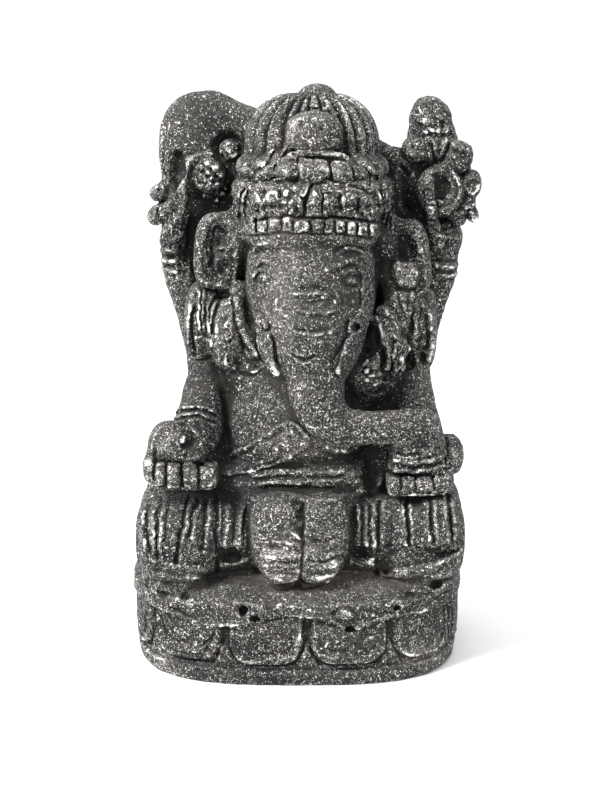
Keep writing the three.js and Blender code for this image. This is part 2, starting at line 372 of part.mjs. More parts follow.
// ---------------------------------------------------------------- fewer, better facets
// The joins leave many slivers. Short and nearly flat edges are merged, cheapest first by the squared
// distance to the facets round them, until `target` facets are left. The underside stays flat.
function ease(position, index, target) {
  const nv = position.length / 3, P = Float64Array.from(position), T = Uint32Array.from(index);
  const Q = new Float64Array(nv * 10), near = Array.from({ length: nv }, () => new Set());
  const live = new Uint8Array(T.length / 3).fill(1), stamp = new Uint32Array(nv);
  const ground = new Uint8Array(nv);
  for (let i = 0; i < nv; i++) ground[i] = Math.abs(P[3 * i + 2]) < 1e-4 ? 1 : 0;
  const cross = (a, b, c) => {
    const ux = b[0] - a[0], uy = b[1] - a[1], uz = b[2] - a[2], vx = c[0] - a[0], vy = c[1] - a[1], vz = c[2] - a[2];
    return [uy * vz - uz * vy, uz * vx - ux * vz, ux * vy - uy * vx];
  };
  const at = (i) => [P[3 * i], P[3 * i + 1], P[3 * i + 2]];
  for (let t = 0; t < live.length; t++) {
    const v = [T[3 * t], T[3 * t + 1], T[3 * t + 2]], n = cross(at(v[0]), at(v[1]), at(v[2])), l = Math.hypot(...n);
    for (const i of v) near[i].add(t);
    if (l < 1e-12) continue;
    const [a, b, c] = n.map((q) => q / l), p = at(v[0]), d = -(a * p[0] + b * p[1] + c * p[2]), w = l / 2;
    const k = [a * a, a * b, a * c, a * d, b * b, b * c, b * d, c * c, c * d, d * d];
    for (const i of v) for (let j = 0; j < 10; j++) Q[10 * i + j] += w * k[j];
  }
  const errorAt = (q, [x, y, z]) => q[0] * x * x + 2 * q[1] * x * y + 2 * q[2] * x * z + 2 * q[3] * x + q[4] * y * y + 2 * q[5] * y * z + 2 * q[6] * y + q[7] * z * z + 2 * q[8] * z + q[9];
  const heap = [];
  const push = (e) => { heap.push(e); let i = heap.length - 1; while (i) { const j = (i - 1) >> 1; if (heap[j].cost <= heap[i].cost) break; [heap[i], heap[j]] = [heap[j], heap[i]]; i = j; } };
  const pop = () => { const top = heap[0], end = heap.pop(); if (heap.length) { heap[0] = end; let i = 0; for (;;) { let j = 2 * i + 1; if (j >= heap.length) break; if (j + 1 < heap.length && heap[j + 1].cost < heap[j].cost) j++; if (heap[i].cost <= heap[j].cost) break; [heap[i], heap[j]] = [heap[j], heap[i]]; i = j; } } return top; };
  const offer = (u, v) => {
    if (ground[u] !== ground[v]) return;
    const q = new Float64Array(10); for (let j = 0; j < 10; j++) q[j] = Q[10 * u + j] + Q[10 * v + j];
    const a = at(u), b = at(v), mid = [0, 1, 2].map((j) => (a[j] + b[j]) / 2);
    const choices = [a, b, mid];
    const det = q[0] * (q[4] * q[7] - q[5] * q[5]) - q[1] * (q[1] * q[7] - q[5] * q[2]) + q[2] * (q[1] * q[5] - q[4] * q[2]);
    const size = (q[0] + q[4] + q[7]) ** 3;
    if (!ground[u] && Math.abs(det) > 1e-4 * size) {
      const r = [-q[3], -q[6], -q[8]];
      const s = [
        (r[0] * (q[4] * q[7] - q[5] * q[5]) - q[1] * (r[1] * q[7] - q[5] * r[2]) + q[2] * (r[1] * q[5] - q[4] * r[2])) / det,
        (q[0] * (r[1] * q[7] - q[5] * r[2]) - r[0] * (q[1] * q[7] - q[5] * q[2]) + q[2] * (q[1] * r[2] - r[1] * q[2])) / det,
        (q[0] * (q[4] * r[2] - r[1] * q[5]) - q[1] * (q[1] * r[2] - r[1] * q[2]) + r[0] * (q[1] * q[5] - q[4] * q[2])) / det,
      ];
      if (Math.hypot(s[0] - mid[0], s[1] - mid[1], s[2] - mid[2]) < 1.5 * Math.hypot(a[0] - b[0], a[1] - b[1], a[2] - b[2])) choices.push(s);
    }
    let best = null, cost = Infinity;
    for (const c of choices) { const e = errorAt(q, c); if (e < cost) { cost = e; best = c; } }
    const length = Math.hypot(a[0] - b[0], a[1] - b[1], a[2] - b[2]);
    push({ u, v, p: best, cost: Math.max(cost, 0) + 2e-3 * length, su: stamp[u], sv: stamp[v] });
  };
  const ring = (u) => { const s = new Set(); for (const t of near[u]) for (let j = 0; j < 3; j++) if (T[3 * t + j] !== u) s.add(T[3 * t + j]); return s; };
  for (let u = 0; u < nv; u++) for (const v of ring(u)) if (u < v) offer(u, v);
  let count = live.length;
  while (count > target && heap.length) {
    const e = pop();
    if (stamp[e.u] !== e.su || stamp[e.v] !== e.sv) continue;
    const { u, v, p } = e, ru = ring(u), rv = ring(v);
    let shared = 0; for (const w of ru) if (rv.has(w)) shared++;
    if (shared !== 2) continue;
    let fine = true;
    for (const [one, other] of [[u, v], [v, u]]) {
      for (const t of near[one]) {
        const v3 = [T[3 * t], T[3 * t + 1], T[3 * t + 2]];
        if (v3.includes(other)) continue;
        const was = cross(...v3.map(at)), now = cross(...v3.map((i) => (i === one ? p : at(i))));
        const lw = Math.hypot(...was), ln = Math.hypot(...now);
        const side = was[0] * now[0] + was[1] * now[1] + was[2] * now[2];
        if (ln < 0.02 || (lw > 1e-3 && side < 0.35 * lw * ln)) { fine = false; break; }
      }
      if (!fine) break;
    }
    if (!fine) continue;
    P.set(p, 3 * u); for (let j = 0; j < 10; j++) Q[10 * u + j] += Q[10 * v + j];
    for (const t of near[v]) {
      const v3 = [T[3 * t], T[3 * t + 1], T[3 * t + 2]];
      if (v3.includes(u)) { live[t] = 0; count--; for (const i of v3) if (i !== v) near[i].delete(t); } else { T[3 * t + v3.indexOf(v)] = u; near[u].add(t); }
    }
    near[v].clear(); stamp[u]++; stamp[v]++;
    const around = ring(u);
    for (const w of around) offer(u, w);
  }
  const name = new Map(), pos = [], tri = [];
  for (let t = 0; t < live.length; t++) if (live[t]) for (let j = 0; j < 3; j++) {
    const i = T[3 * t + j];
    if (!name.has(i)) { name.set(i, pos.length / 3); pos.push(...at(i)); }
    tri.push(name.get(i));
  }
  return [new Float32Array(pos), new Uint32Array(tri)];
}

// ---------------------------------------------------------------- one casting
let statue = parts[0];
for (const p of parts.slice(1)) statue = statue.add(p);
// drop slivers below the underside and any crumb cut loose
{
  const floor = solid(new THREE.BoxGeometry(400, 400, 40).translate(0, 0, -20));
  statue = statue.subtract(floor);
}
statue = statue.decompose().sort((p, q) => q.volume() - p.volume())[0];
const out = statue.getMesh();
const [corners, facets] = ease(out.vertProperties, out.triVerts, FACETS);
const geometry = new THREE.BufferGeometry();
geometry.setAttribute('position', new THREE.BufferAttribute(corners, 3));
geometry.setIndex(new THREE.BufferAttribute(facets, 1));
geometry.computeVertexNormals();

const stone = new THREE.MeshStandardMaterial({ color: 0x4a4845, roughness: 0.92, metalness: 0 });
const figure = new THREE.Mesh(geometry, stone);
figure.name = 'ganesha_statue';

const group = new THREE.Group();
group.add(figure);
export default group;
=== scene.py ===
import bpy, math
import numpy as np
from mathutils import Matrix, Vector


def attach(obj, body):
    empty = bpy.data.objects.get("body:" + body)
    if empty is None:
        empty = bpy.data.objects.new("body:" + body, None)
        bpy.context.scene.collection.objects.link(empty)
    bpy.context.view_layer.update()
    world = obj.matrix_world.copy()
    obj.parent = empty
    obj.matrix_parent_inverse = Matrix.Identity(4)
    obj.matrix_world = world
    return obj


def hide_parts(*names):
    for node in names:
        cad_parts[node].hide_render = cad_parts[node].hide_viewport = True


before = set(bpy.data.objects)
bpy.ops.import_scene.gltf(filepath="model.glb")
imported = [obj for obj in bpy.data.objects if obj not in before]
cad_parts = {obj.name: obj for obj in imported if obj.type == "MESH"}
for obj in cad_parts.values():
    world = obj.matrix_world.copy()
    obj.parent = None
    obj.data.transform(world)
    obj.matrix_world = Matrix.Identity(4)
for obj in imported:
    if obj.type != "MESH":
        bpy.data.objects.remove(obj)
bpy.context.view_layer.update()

# ---------------------------------------------------------------- clay
F32 = np.float32

class View:
    """The photograph's view: pixel (u, v) of the 600x800 frame and a depth Y give a point in mm."""
    C = np.array([0.0, -1100.0, 440.0]); PITCH = math.radians(13.364); FPX = 1588.5; U0 = 297.0; V0 = 400.0
    def __init__(s):
        s.F = np.array([0, math.cos(s.PITCH), -math.sin(s.PITCH)]); s.U = np.array([0, math.sin(s.PITCH), math.cos(s.PITCH)]); s.R = np.array([1.0, 0, 0])
    def ray(s, u, v):
        w = s.F + s.R * ((u - s.U0) / s.FPX) - s.U * ((v - s.V0) / s.FPX)
        return w / np.linalg.norm(w)
    def at(s, u, v, y):
        w = s.ray(u, v)
        return s.C + w * ((y - s.C[1]) / w[1])
    def proj(s, p):
        d = np.asarray(p, float) - s.C
        z = d @ s.F
        return np.stack([s.U0 + s.FPX * (d @ s.R) / z, s.V0 - s.FPX * (d @ s.U) / z], -1)
VIEW = View()

def spline(pts, n):
    """Catmull-Rom through the rows of pts, n samples a span."""
    p = np.asarray(pts, float)
    if len(p) < 3:
        t = np.linspace(0, 1, n + 1)[:, None]
        return p[0] * (1 - t) + p[-1] * t
    q = np.vstack([2 * p[0] - p[1], p, 2 * p[-1] - p[-2]])
    out = []
    for i in range(1, len(q) - 2):
        t = np.arange(n)[:, None] / n
        a, b, c, d = q[i - 1], q[i], q[i + 1], q[i + 2]
        out.append(0.5 * ((2 * b) + (c - a) * t + (2 * a - 5 * b + 4 * c - d) * t**2 + (3 * b - a - 3 * c + d) * t**3))
    out.append(p[-1][None])
    return np.vstack(out)

def euler(rx=0, ry=0, rz=0):
    a, b, c = (math.radians(x) for x in (rx, ry, rz))
    X = np.array([[1, 0, 0], [0, math.cos(a), -math.sin(a)], [0, math.sin(a), math.cos(a)]])
    Y = np.array([[math.cos(b), 0, math.sin(b)], [0, 1, 0], [-math.sin(b), 0, math.cos(b)]])
    Z = np.array([[math.cos(c), -math.sin(c), 0], [math.sin(c), math.cos(c), 0], [0, 0, 1]])
    return Z @ Y @ X

class Clay:
    """A block of distances, in mm, that forms are pressed into or cut out of."""
    def __init__(s, lo, hi, h):
        s.h = float(h); s.lo = np.array(lo, float)
        s.n = np.ceil((np.array(hi, float) - s.lo) / s.h).astype(int) + 1
        s.d = np.full(tuple(s.n), 25.0, F32)
        s.ax = [(s.lo[k] + s.h * np.arange(s.n[k])).astype(F32) for k in range(3)]
    def win(s, lo, hi):
        i0 = np.clip(np.floor((np.asarray(lo) - s.lo) / s.h).astype(int), 0, s.n - 1)
        i1 = np.clip(np.ceil((np.asarray(hi) - s.lo) / s.h).astype(int) + 1, 1, s.n)
        if np.any(i1 <= i0): return None, None
        sl = tuple(slice(int(i0[k]), int(i1[k])) for k in range(3))
        return sl, (s.ax[0][sl[0]][:, None, None], s.ax[1][sl[1]][None, :, None], s.ax[2][sl[2]][None, None, :])
    def press(s, f, lo, hi, k=2.0, cut=False, clip=None):
        pad = k + 2 * s.h
        sl, g = s.win(np.asarray(lo) - pad, np.asarray(hi) + pad)
        if sl is None: return
        b = f(*g); a = s.d[sl]
        if clip is not None: b = np.maximum(b, clip(*g))
        if cut:
            b = -b
            if k > 0:
                w = np.maximum(k - np.abs(a - b), 0) / k
                s.d[sl] = np.maximum(a, b) + w * w * (k * 0.25)
            else: s.d[sl] = np.maximum(a, b)
        else:
            if k > 0:
                w = np.maximum(k - np.abs(a - b), 0) / k
                s.d[sl] = np.minimum(a, b) - w * w * (k * 0.25)
            else: s.d[sl] = np.minimum(a, b)
    # forms ------------------------------------------------------------
    def ell(s, c, r, rot=None, k=2.0, cut=False, p=2.0):
        c = np.asarray(c, float); r = np.asarray(r, float) * np.ones(3)
        M = np.eye(3) if rot is None else euler(*rot)
        half = np.sqrt(((M * r) ** 2).sum(1)) if p <= 2.01 else np.abs(M) @ r
        Mi = M.T.astype(F32)
        def f(x, y, z):
            X, Y, Z = x - F32(c[0]), y - F32(c[1]), z - F32(c[2])
            if rot is not None:
                X, Y, Z = (Mi[i, 0] * X + Mi[i, 1] * Y + Mi[i, 2] * Z for i in range(3))
            if p <= 2.01:
                q = np.sqrt((X / F32(r[0])) ** 2 + (Y / F32(r[1])) ** 2 + (Z / F32(r[2])) ** 2)
                g = np.sqrt((X / F32(r[0] ** 2)) ** 2 + (Y / F32(r[1] ** 2)) ** 2 + (Z / F32(r[2] ** 2)) ** 2)
                return q * (q - 1) / np.maximum(g, F32(1e-5))
            q = (np.abs(X / F32(r[0])) ** F32(p) + np.abs(Y / F32(r[1])) ** F32(p) + np.abs(Z / F32(r[2])) ** F32(p)) ** F32(1 / p)
            l = np.sqrt(X * X + Y * Y + Z * Z)
            return l * (q - 1) / np.maximum(q, F32(0.05))
        s.press(f, c - half, c + half, k, cut)
    def box(s, c, half, rot=None, rnd=1.0, k=1.0, cut=False):
        c = np.asarray(c, float); hf = np.asarray(half, float)
        M = np.eye(3) if rot is None else euler(*rot)
        ext = np.abs(M) @ hf
        Mi = M.T.astype(F32); q = (hf - rnd).astype(F32)
        def f(x, y, z):
            X, Y, Z = x - F32(c[0]), y - F32(c[1]), z - F32(c[2])
            if rot is not None:
                X, Y, Z = (Mi[i, 0] * X + Mi[i, 1] * Y + Mi[i, 2] * Z for i in range(3))
            X, Y, Z = np.abs(X) - q[0], np.abs(Y) - q[1], np.abs(Z) - q[2]
            return np.sqrt(np.maximum(X, 0) ** 2 + np.maximum(Y, 0) ** 2 + np.maximum(Z, 0) ** 2) + np.minimum(np.maximum(X, np.maximum(Y, Z)), 0) - F32(rnd)
        s.press(f, c - ext, c + ext, k, cut)
    def tube(s, pts, rad, k=1.5, cut=False, flat=(1, 1, 1), n=5):
        """pts rows of x,y,z; rad a number or one a row. flat squeezes the section along an axis."""
        pts = np.asarray(pts, float)
        rad = np.broadcast_to(np.asarray(rad, float), (len(pts),))
        q = spline(np.hstack([pts, rad[:, None]]), n)
        P, R = q[:, :3], np.maximum(q[:, 3], 0.15)
        sc = np.asarray(flat, float)
        Ps = (P * sc).astype(F32); inv = F32(1 / sc.max())
        rr = R[:, None] / sc
        lo, hi = (P - rr).min(0), (P + rr).max(0)
        scf = sc.astype(F32)
        def f(x, y, z):
            out = None
            x, y, z = x * scf[0], y * scf[1], z * scf[2]
            for i in range(len(Ps) - 1):
                a, b = Ps[i], Ps[i + 1]; ba = b - a; L = F32(ba @ ba) + F32(1e-6)
                X, Y, Z = x - a[0], y - a[1], z - a[2]
                t = np.clip((X * ba[0] + Y * ba[1] + Z * ba[2]) / L, 0, 1)
                X, Y, Z = X - t * ba[0], Y - t * ba[1], Z - t * ba[2]
                d = np.sqrt(X * X + Y * Y + Z * Z) - (F32(R[i]) + F32(R[i + 1] - R[i]) * t)
                out = d if out is None else np.minimum(out, d)
            return out * inv
        s.press(f, lo, hi, k, cut)
    # reading ------------------------------------------------------------
    def sample(s, P):
        q = (np.asarray(P, float) - s.lo) / s.h
        i = np.clip(np.floor(q).astype(int), 0, s.n - 2); t = np.clip(q - i, 0, 1)
        out = 0
        for dx in (0, 1):
            for dy in (0, 1):
                for dz in (0, 1):
                    w = (t[:, 0] if dx else 1 - t[:, 0]) * (t[:, 1] if dy else 1 - t[:, 1]) * (t[:, 2] if dz else 1 - t[:, 2])
                    out = out + w * s.d[i[:, 0] + dx, i[:, 1] + dy, i[:, 2] + dz]
        return out
    def hit(s, u, v, y0=-110.0, y1=95.0):
        """The first surface point seen through pixel (u, v), or None."""
        a, b = VIEW.at(u, v, y0), VIEW.at(u, v, y1)
        m = int(np.linalg.norm(b - a) / (0.5 * s.h)) + 1
        t = np.linspace(0, 1, m); P = a + (b - a) * t[:, None]
        d = s.sample(P); j = np.argmax(d < 0)
        if d[j] >= 0: return None
        if j == 0: return P[0]
        w = d[j - 1] / (d[j - 1] - d[j])
        return P[j - 1] + (P[j] - P[j - 1]) * w
    def on(s, uv, n=4, smooth=1):
        """A line of pixels laid on the surface as it is seen: points, evenly splined."""
        q = spline(np.asarray(uv, float), n)
        t, ok = [], []
        for u, v in q:
            p = s.hit(u, v)
            ok.append(p is not None)
            t.append(np.nan if p is None else p[1])
        t = np.array(t)
        if not any(ok): return None
        idx = np.arange(len(t)); t = np.interp(idx, idx[~np.isnan(t)], t[~np.isnan(t)])
        for _ in range(smooth):
            t = np.convolve(np.pad(t, 1, mode='edge'), [0.25, 0.5, 0.25], 'valid')
        return np.array([VIEW.at(u, v, y) for (u, v), y in zip(q, t)])
    def stroke(s, uv, r, lift=0.0, k=1.0, cut=False, n=4, smooth=1, flat=(1, 1, 1)):
        """A bead laid on the surface along a line of pixels; lift moves it towards the viewer."""
        p = s.on(uv, n, smooth)
        if p is None: return
        w = VIEW.C - p; w /= np.linalg.norm(w, axis=1)[:, None]
        r = np.asarray(r, float)
        if r.ndim: r = np.interp(np.linspace(0, 1, len(p)), np.linspace(0, 1, len(r)), r)
        s.tube(p + w * lift, r, k, cut, flat, n=1)
    def spot(s, u, v, r, lift=0.0, k=1.0, cut=False, rot=None):
        p = s.hit(u, v)
        if p is None: return
        w = VIEW.C - p; w /= np.linalg.norm(w)
        s.ell(p + w * lift, r, rot, k, cut)

def nets(D, lo, h):
    """Surface nets: one vertex a crossed cell, quads between them. Returns vertices (mm) and quads."""
    n = np.array(D.shape)
    S = D < 0
    c = None
    # crossed cells
    m = np.zeros(tuple(n - 1), np.int8)
    for dx in (0, 1):
        for dy in (0, 1):
            for dz in (0, 1):
                m += S[dx:n[0] - 1 + dx, dy:n[1] - 1 + dy, dz:n[2] - 1 + dz]
    cell = np.argwhere((m > 0) & (m < 8))
    ids = np.full(tuple(n - 1), -1, np.int32)
    ids[cell[:, 0], cell[:, 1], cell[:, 2]] = np.arange(len(cell), dtype=np.int32)
    pos = np.zeros((len(cell), 3)); cnt = np.zeros(len(cell))
    corner = [(a, b, c) for a in (0, 1) for b in (0, 1) for c in (0, 1)]
    val = {q: D[cell[:, 0] + q[0], cell[:, 1] + q[1], cell[:, 2] + q[2]].astype(np.float64) for q in corner}
    for q in corner:
        for ax in range(3):
            if q[ax] == 0:
                r = list(q); r[ax] = 1; r = tuple(r)
                a, b = val[q], val[r]
                x = (a < 0) != (b < 0)
                t = np.where(x, a / np.where(x, a - b, 1), 0)
                pt = np.zeros((len(cell), 3)) + np.array(q, float); pt[:, ax] += t
                pos += pt * x[:, None]; cnt += x
    V = (cell + pos / cnt[:, None]) * h + np.asarray(lo, float)
    quads = []
    for ax in range(3):
        o = [k for k in range(3) if k != ax]
        sl0 = [slice(None)] * 3; sl1 = [slice(None)] * 3
        sl0[ax] = slice(0, n[ax] - 1); sl1[ax] = slice(1, n[ax])
        for k in o:
            sl0[k] = slice(1, n[k] - 1); sl1[k] = slice(1, n[k] - 1)
        a, b = S[tuple(sl0)], S[tuple(sl1)]
        e = np.argwhere(a != b)
        inside_first = a[e[:, 0], e[:, 1], e[:, 2]]
        base = e.copy(); base[:, o[0]] += 1; base[:, o[1]] += 1   # grid index of the edge's first corner
        def g(d0, d1):
            q = base.copy(); q[:, o[0]] -= d0; q[:, o[1]] -= d1
            return ids[q[:, 0], q[:, 1], q[:, 2]]
        Q = np.stack([g(1, 1), g(0, 1), g(0, 0), g(1, 0)], 1)
        flip = inside_first if ax != 1 else ~inside_first
        Q[~flip] = Q[~flip][:, ::-1]
        quads.append(Q)
    return V, np.vstack(quads)

class Relief:
    """Height, in mm towards the viewer, drawn in the picture's own frame and then laid on the clay."""
    S = 3
    def __init__(s, x0=126, y0=74, x1=492, y1=700):
        s.x0, s.y0, s.x1, s.y1 = x0, y0, x1, y1
        s.R = np.zeros(((y1 - y0) * s.S, (x1 - x0) * s.S), F32)
    def _win(s, x0, y0, x1, y1):
        a = max(int((x0 - s.x0) * s.S), 0); b = min(int((x1 - s.x0) * s.S) + 2, s.R.shape[1])
        c = max(int((y0 - s.y0) * s.S), 0); d = min(int((y1 - s.y0) * s.S) + 2, s.R.shape[0])
        if b <= a or d <= c: return None
        u = (np.arange(a, b) + 0.5) / s.S + s.x0; v = (np.arange(c, d) + 0.5) / s.S + s.y0
        return (slice(c, d), slice(a, b)), u[None, :].astype(F32), v[:, None].astype(F32)
    def _mix(s, sl, h, mode):
        r = s.R[sl]
        if mode == 'add': s.R[sl] = r + h
        elif mode == 'max': s.R[sl] = np.maximum(r, h)
        elif mode == 'min': s.R[sl] = np.minimum(r, h)
    def line(s, pts, w, a, mode='add', n=6, taper=True, prof='round', sharp=1.0):
        """A ridge (a > 0) or groove (a < 0) along pts; w = half width in px, one value or one a point."""
        pts = np.asarray(pts, float); w = np.broadcast_to(np.asarray(w, float), (len(pts),))
        q = spline(np.hstack([pts, w[:, None]]), n)
        P, W = q[:, :2], np.maximum(q[:, 2], 0.4)
        m = W.max() * 1.8 + 1
        o = s._win(P[:, 0].min() - m, P[:, 1].min() - m, P[:, 0].max() + m, P[:, 1].max() + m)
        if o is None: return
        sl, u, v = o
        best = np.full(np.broadcast_shapes(u.shape, v.shape), 9.0, F32); tt = np.zeros_like(best)
        L = np.concatenate([[0], np.cumsum(np.linalg.norm(np.diff(P, axis=0), axis=1))]); T = max(L[-1], 1e-6)
        for i in range(len(P) - 1):
            ax_, ay_ = P[i]; bx, by = P[i + 1] - P[i]; ll = bx * bx + by * by + 1e-9
            t = np.clip(((u - ax_) * bx + (v - ay_) * by) / ll, 0, 1)
            d = np.hypot(u - ax_ - t * bx, v - ay_ - t * by) / (W[i] + (W[i + 1] - W[i]) * t)
            c = d < best
            best = np.where(c, d, best); tt = np.where(c, (L[i] + t * math.sqrt(ll)), tt)
        if prof == 'gauss': h = np.exp(-best * best * 1.6)
        elif prof == 'flat': h = 1 / (1 + np.exp((best - 0.9) * 9))
        else: h = np.where(best < 1.5, np.clip(1 - (best / 1.25) ** 2, 0, 1) ** (0.6 * sharp), 0)
        if taper:
            e = np.clip(np.minimum(tt, T - tt) / (W.max() * 1.2 + 1e-3), 0, 1); h = h * (0.25 + 0.75 * e)
        s._mix(sl, (a * h).astype(F32), mode)
    def ell(s, u0, v0, ru, rv, a, rot=0, p=2.0, mode='add', flat=False):
        m = max(ru, rv) * 1.5 + 1
        o = s._win(u0 - m, v0 - m, u0 + m, v0 + m)
        if o is None: return
        sl, u, v = o
        c, q = math.cos(math.radians(rot)), math.sin(math.radians(rot))
        X = ((u - u0) * c + (v - v0) * q) / ru; Y = (-(u - u0) * q + (v - v0) * c) / rv
        r = (np.abs(X) ** p + np.abs(Y) ** p) ** (1 / p)
        h = 1 / (1 + np.exp((r - 0.92) * 12)) if flat else np.clip(1 - r * r, 0, 1) ** 0.6
        s._mix(sl, (a * h).astype(F32), mode)
    def ring(s, u0, v0, ru, rv, w, a, rot=0, mode='add'):
        m = max(ru, rv) + w * 2 + 1
        o = s._win(u0 - m, v0 - m, u0 + m, v0 + m)
        if o is None: return
        sl, u, v = o
        c, q = math.cos(math.radians(rot)), math.sin(math.radians(rot))
        X = ((u - u0) * c + (v - v0) * q) / ru; Y = (-(u - u0) * q + (v - v0) * c) / rv
        r = (np.hypot(X, Y) - 1) * math.sqrt(ru * rv) / w
        s._mix(sl, (a * np.clip(1 - r * r, 0, 1) ** 0.7).astype(F32), mode)
    def poly(s, pts, a, soft=2.0, dome=0.0, mode='add', n=4, closed=True):
        """Raises the inside of a smooth closed outline by a, with an edge soft px wide, and bulges it by dome."""
        p = np.asarray(pts, float)
        q = np.vstack([p[-1], p, p[0], p[1]])
        out = []
        for i in range(1, len(q) - 2):
            t = np.arange(n)[:, None] / n; A_, B_, C_, D_ = q[i - 1], q[i], q[i + 1], q[i + 2]
            k = 0.5 if n > 1 else 0
            out.append(0.5 * ((2 * B_) + (C_ - A_) * t + (2 * A_ - 5 * B_ + 4 * C_ - D_) * t**2 + (3 * B_ - A_ - 3 * C_ + D_) * t**3) if n > 1 else B_[None])
        P = np.vstack(out)
        m = soft * 2 + 1
        o = s._win(P[:, 0].min() - m, P[:, 1].min() - m, P[:, 0].max() + m, P[:, 1].max() + m)
        if o is None: return
        sl, u, v = o
        d = np.full(np.broadcast_shapes(u.shape, v.shape), 1e9, F32); ins = np.zeros(d.shape, bool)
        N = len(P)
        for i in range(N):
            ax_, ay_ = P[i]; cx, cy = P[(i + 1) % N]; bx, by = cx - ax_, cy - ay_; ll = bx * bx + by * by + 1e-9
            t = np.clip(((u - ax_) * bx + (v - ay_) * by) / ll, 0, 1)
            d = np.minimum(d, np.hypot(u - ax_ - t * bx, v - ay_ - t * by))
            cond = ((ay_ > v) != (cy > v)) & (u < (cx - ax_) * (v - ay_) / (cy - ay_ + 1e-12) + ax_)
            ins ^= cond
        sd = np.where(ins, d, -d)
        h = a * np.clip(sd / soft + 0.5, 0, 1)
        h = a * (lambda x: x * x * (3 - 2 * x))(np.clip(sd / soft + 0.5, 0, 1))
        if dome: h = h + dome * np.sqrt(np.clip(sd, 0, None) / max(float(d[ins].max()) if ins.any() else 1.0, 1e-3))
        s._mix(sl, h.astype(F32), mode)
    def beads(s, pts, r, gap, a, mode='max', base=0.0):
        q = spline(np.asarray(pts, float), 12)
        L = np.concatenate([[0], np.cumsum(np.linalg.norm(np.diff(q, axis=0), axis=1))])
        m = max(int(round(L[-1] / gap)), 1)
        for k in range(m + 1):
            t = L[-1] * k / m
            s.ell(np.interp(t, L, q[:, 0]), np.interp(t, L, q[:, 1]), r, r, a, mode='add')
    def sample(s, u, v):
        x = np.clip((u - s.x0) * s.S - 0.5, 0, s.R.shape[1] - 1.001); y = np.clip((v - s.y0) * s.S - 0.5, 0, s.R.shape[0] - 1.001)
        i = x.astype(np.int32); j = y.astype(np.int32); fx = x - i; fy = y - j
        R = s.R
        return (R[j, i] * (1 - fx) + R[j, i + 1] * fx) * (1 - fy) + (R[j + 1, i] * (1 - fx) + R[j + 1, i + 1] * fx) * fy

def depth_map(c, x0, y0, x1, y1, step=1.0):
    """First surface Y seen through each pixel; nan where there is none."""
    us = np.arange(x0, x1 + 0.01, step); vs = np.arange(y0, y1 + 0.01, step)
    U_, V_ = np.meshgrid(us, vs)
    w = VIEW.F[None] + VIEW.R[None] * ((U_.ravel()[:, None] - VIEW.U0) / VIEW.FPX) - VIEW.U[None] * ((V_.ravel()[:, None] - VIEW.V0) / VIEW.FPX)
    w /= w[:, 1:2]                                  # one mm of Y a unit
    ln = np.linalg.norm(w, axis=1)
    y = np.full(len(w), float(c.lo[1]) + 0.5); done = np.zeros(len(w), bool); act = np.arange(len(w))
    hi = float(c.ax[1][-1])
    for it in range(90):
        if not len(act): break
        P = VIEW.C + w[act] * (y[act] - VIEW.C[1])[:, None]
        d = c.sample(P)
        d = np.where((P[:, 0] < c.ax[0][0]) | (P[:, 0] > c.ax[0][-1]) | (P[:, 2] > c.ax[2][-1]), 4.0, d)
        hit = d < 0.12
        y[act] += np.where(hit, 0, np.clip(d * 0.75, 0.2, 8) / ln[act])
        done[act[hit]] = True
        act = act[~hit & (y[act] < hi)]
    y[~done] = np.nan
    return us, vs, y.reshape(len(vs), len(us))

def cloud(shape, step, seed):
    """Smooth random field, 0 to 1, with one knot every step samples."""
    rs = np.random.RandomState(seed)
    k = rs.rand(shape[0] // step + 4, shape[1] // step + 4).astype(F32)
    y = np.arange(shape[0]) / step; x = np.arange(shape[1]) / step
    j = y.astype(int); i = x.astype(int); fy = (y - j)[:, None]; fx = (x - i)[None, :]
    fy = fy * fy * (3 - 2 * fy); fx = fx * fx * (3 - 2 * fx)
    g = lambda a, b: k[np.ix_(j + a, i + b)]
    return ((g(0, 0) * (1 - fx) + g(0, 1) * fx) * (1 - fy) + (g(1, 0) * (1 - fx) + g(1, 1) * fx) * fy).astype(F32)

def weather(rel, seed=11):
    """Makes the drawn lines uneven, as a chisel and wear leave them."""
    S, R = rel.S, rel.R
    H, W = R.shape
    dx = ((cloud(R.shape, 9 * S, seed) - 0.5) * 2.4 + (cloud(R.shape, 4 * S, seed + 1) - 0.5) * 1.4) * S
    dy = ((cloud(R.shape, 9 * S, seed + 2) - 0.5) * 2.4 + (cloud(R.shape, 4 * S, seed + 3) - 0.5) * 1.4) * S
    yy, xx = np.mgrid[0:H, 0:W]
    q = R[np.clip(yy + dy, 0, H - 1).astype(int), np.clip(xx + dx, 0, W - 1).astype(int)]
    up = 0.65 + 0.85 * cloud(R.shape, 5 * S, seed + 4); dn = 0.85 + 0.5 * cloud(R.shape, 6 * S, seed + 5)
    lumps = (cloud(R.shape, 4 * S, seed + 6) - 0.5) * 0.55 + (cloud(R.shape, 10 * S, seed + 7) - 0.5) * 0.7
    rel.R = (np.where(q > 0, q * up, q * dn) + lumps).astype(F32)

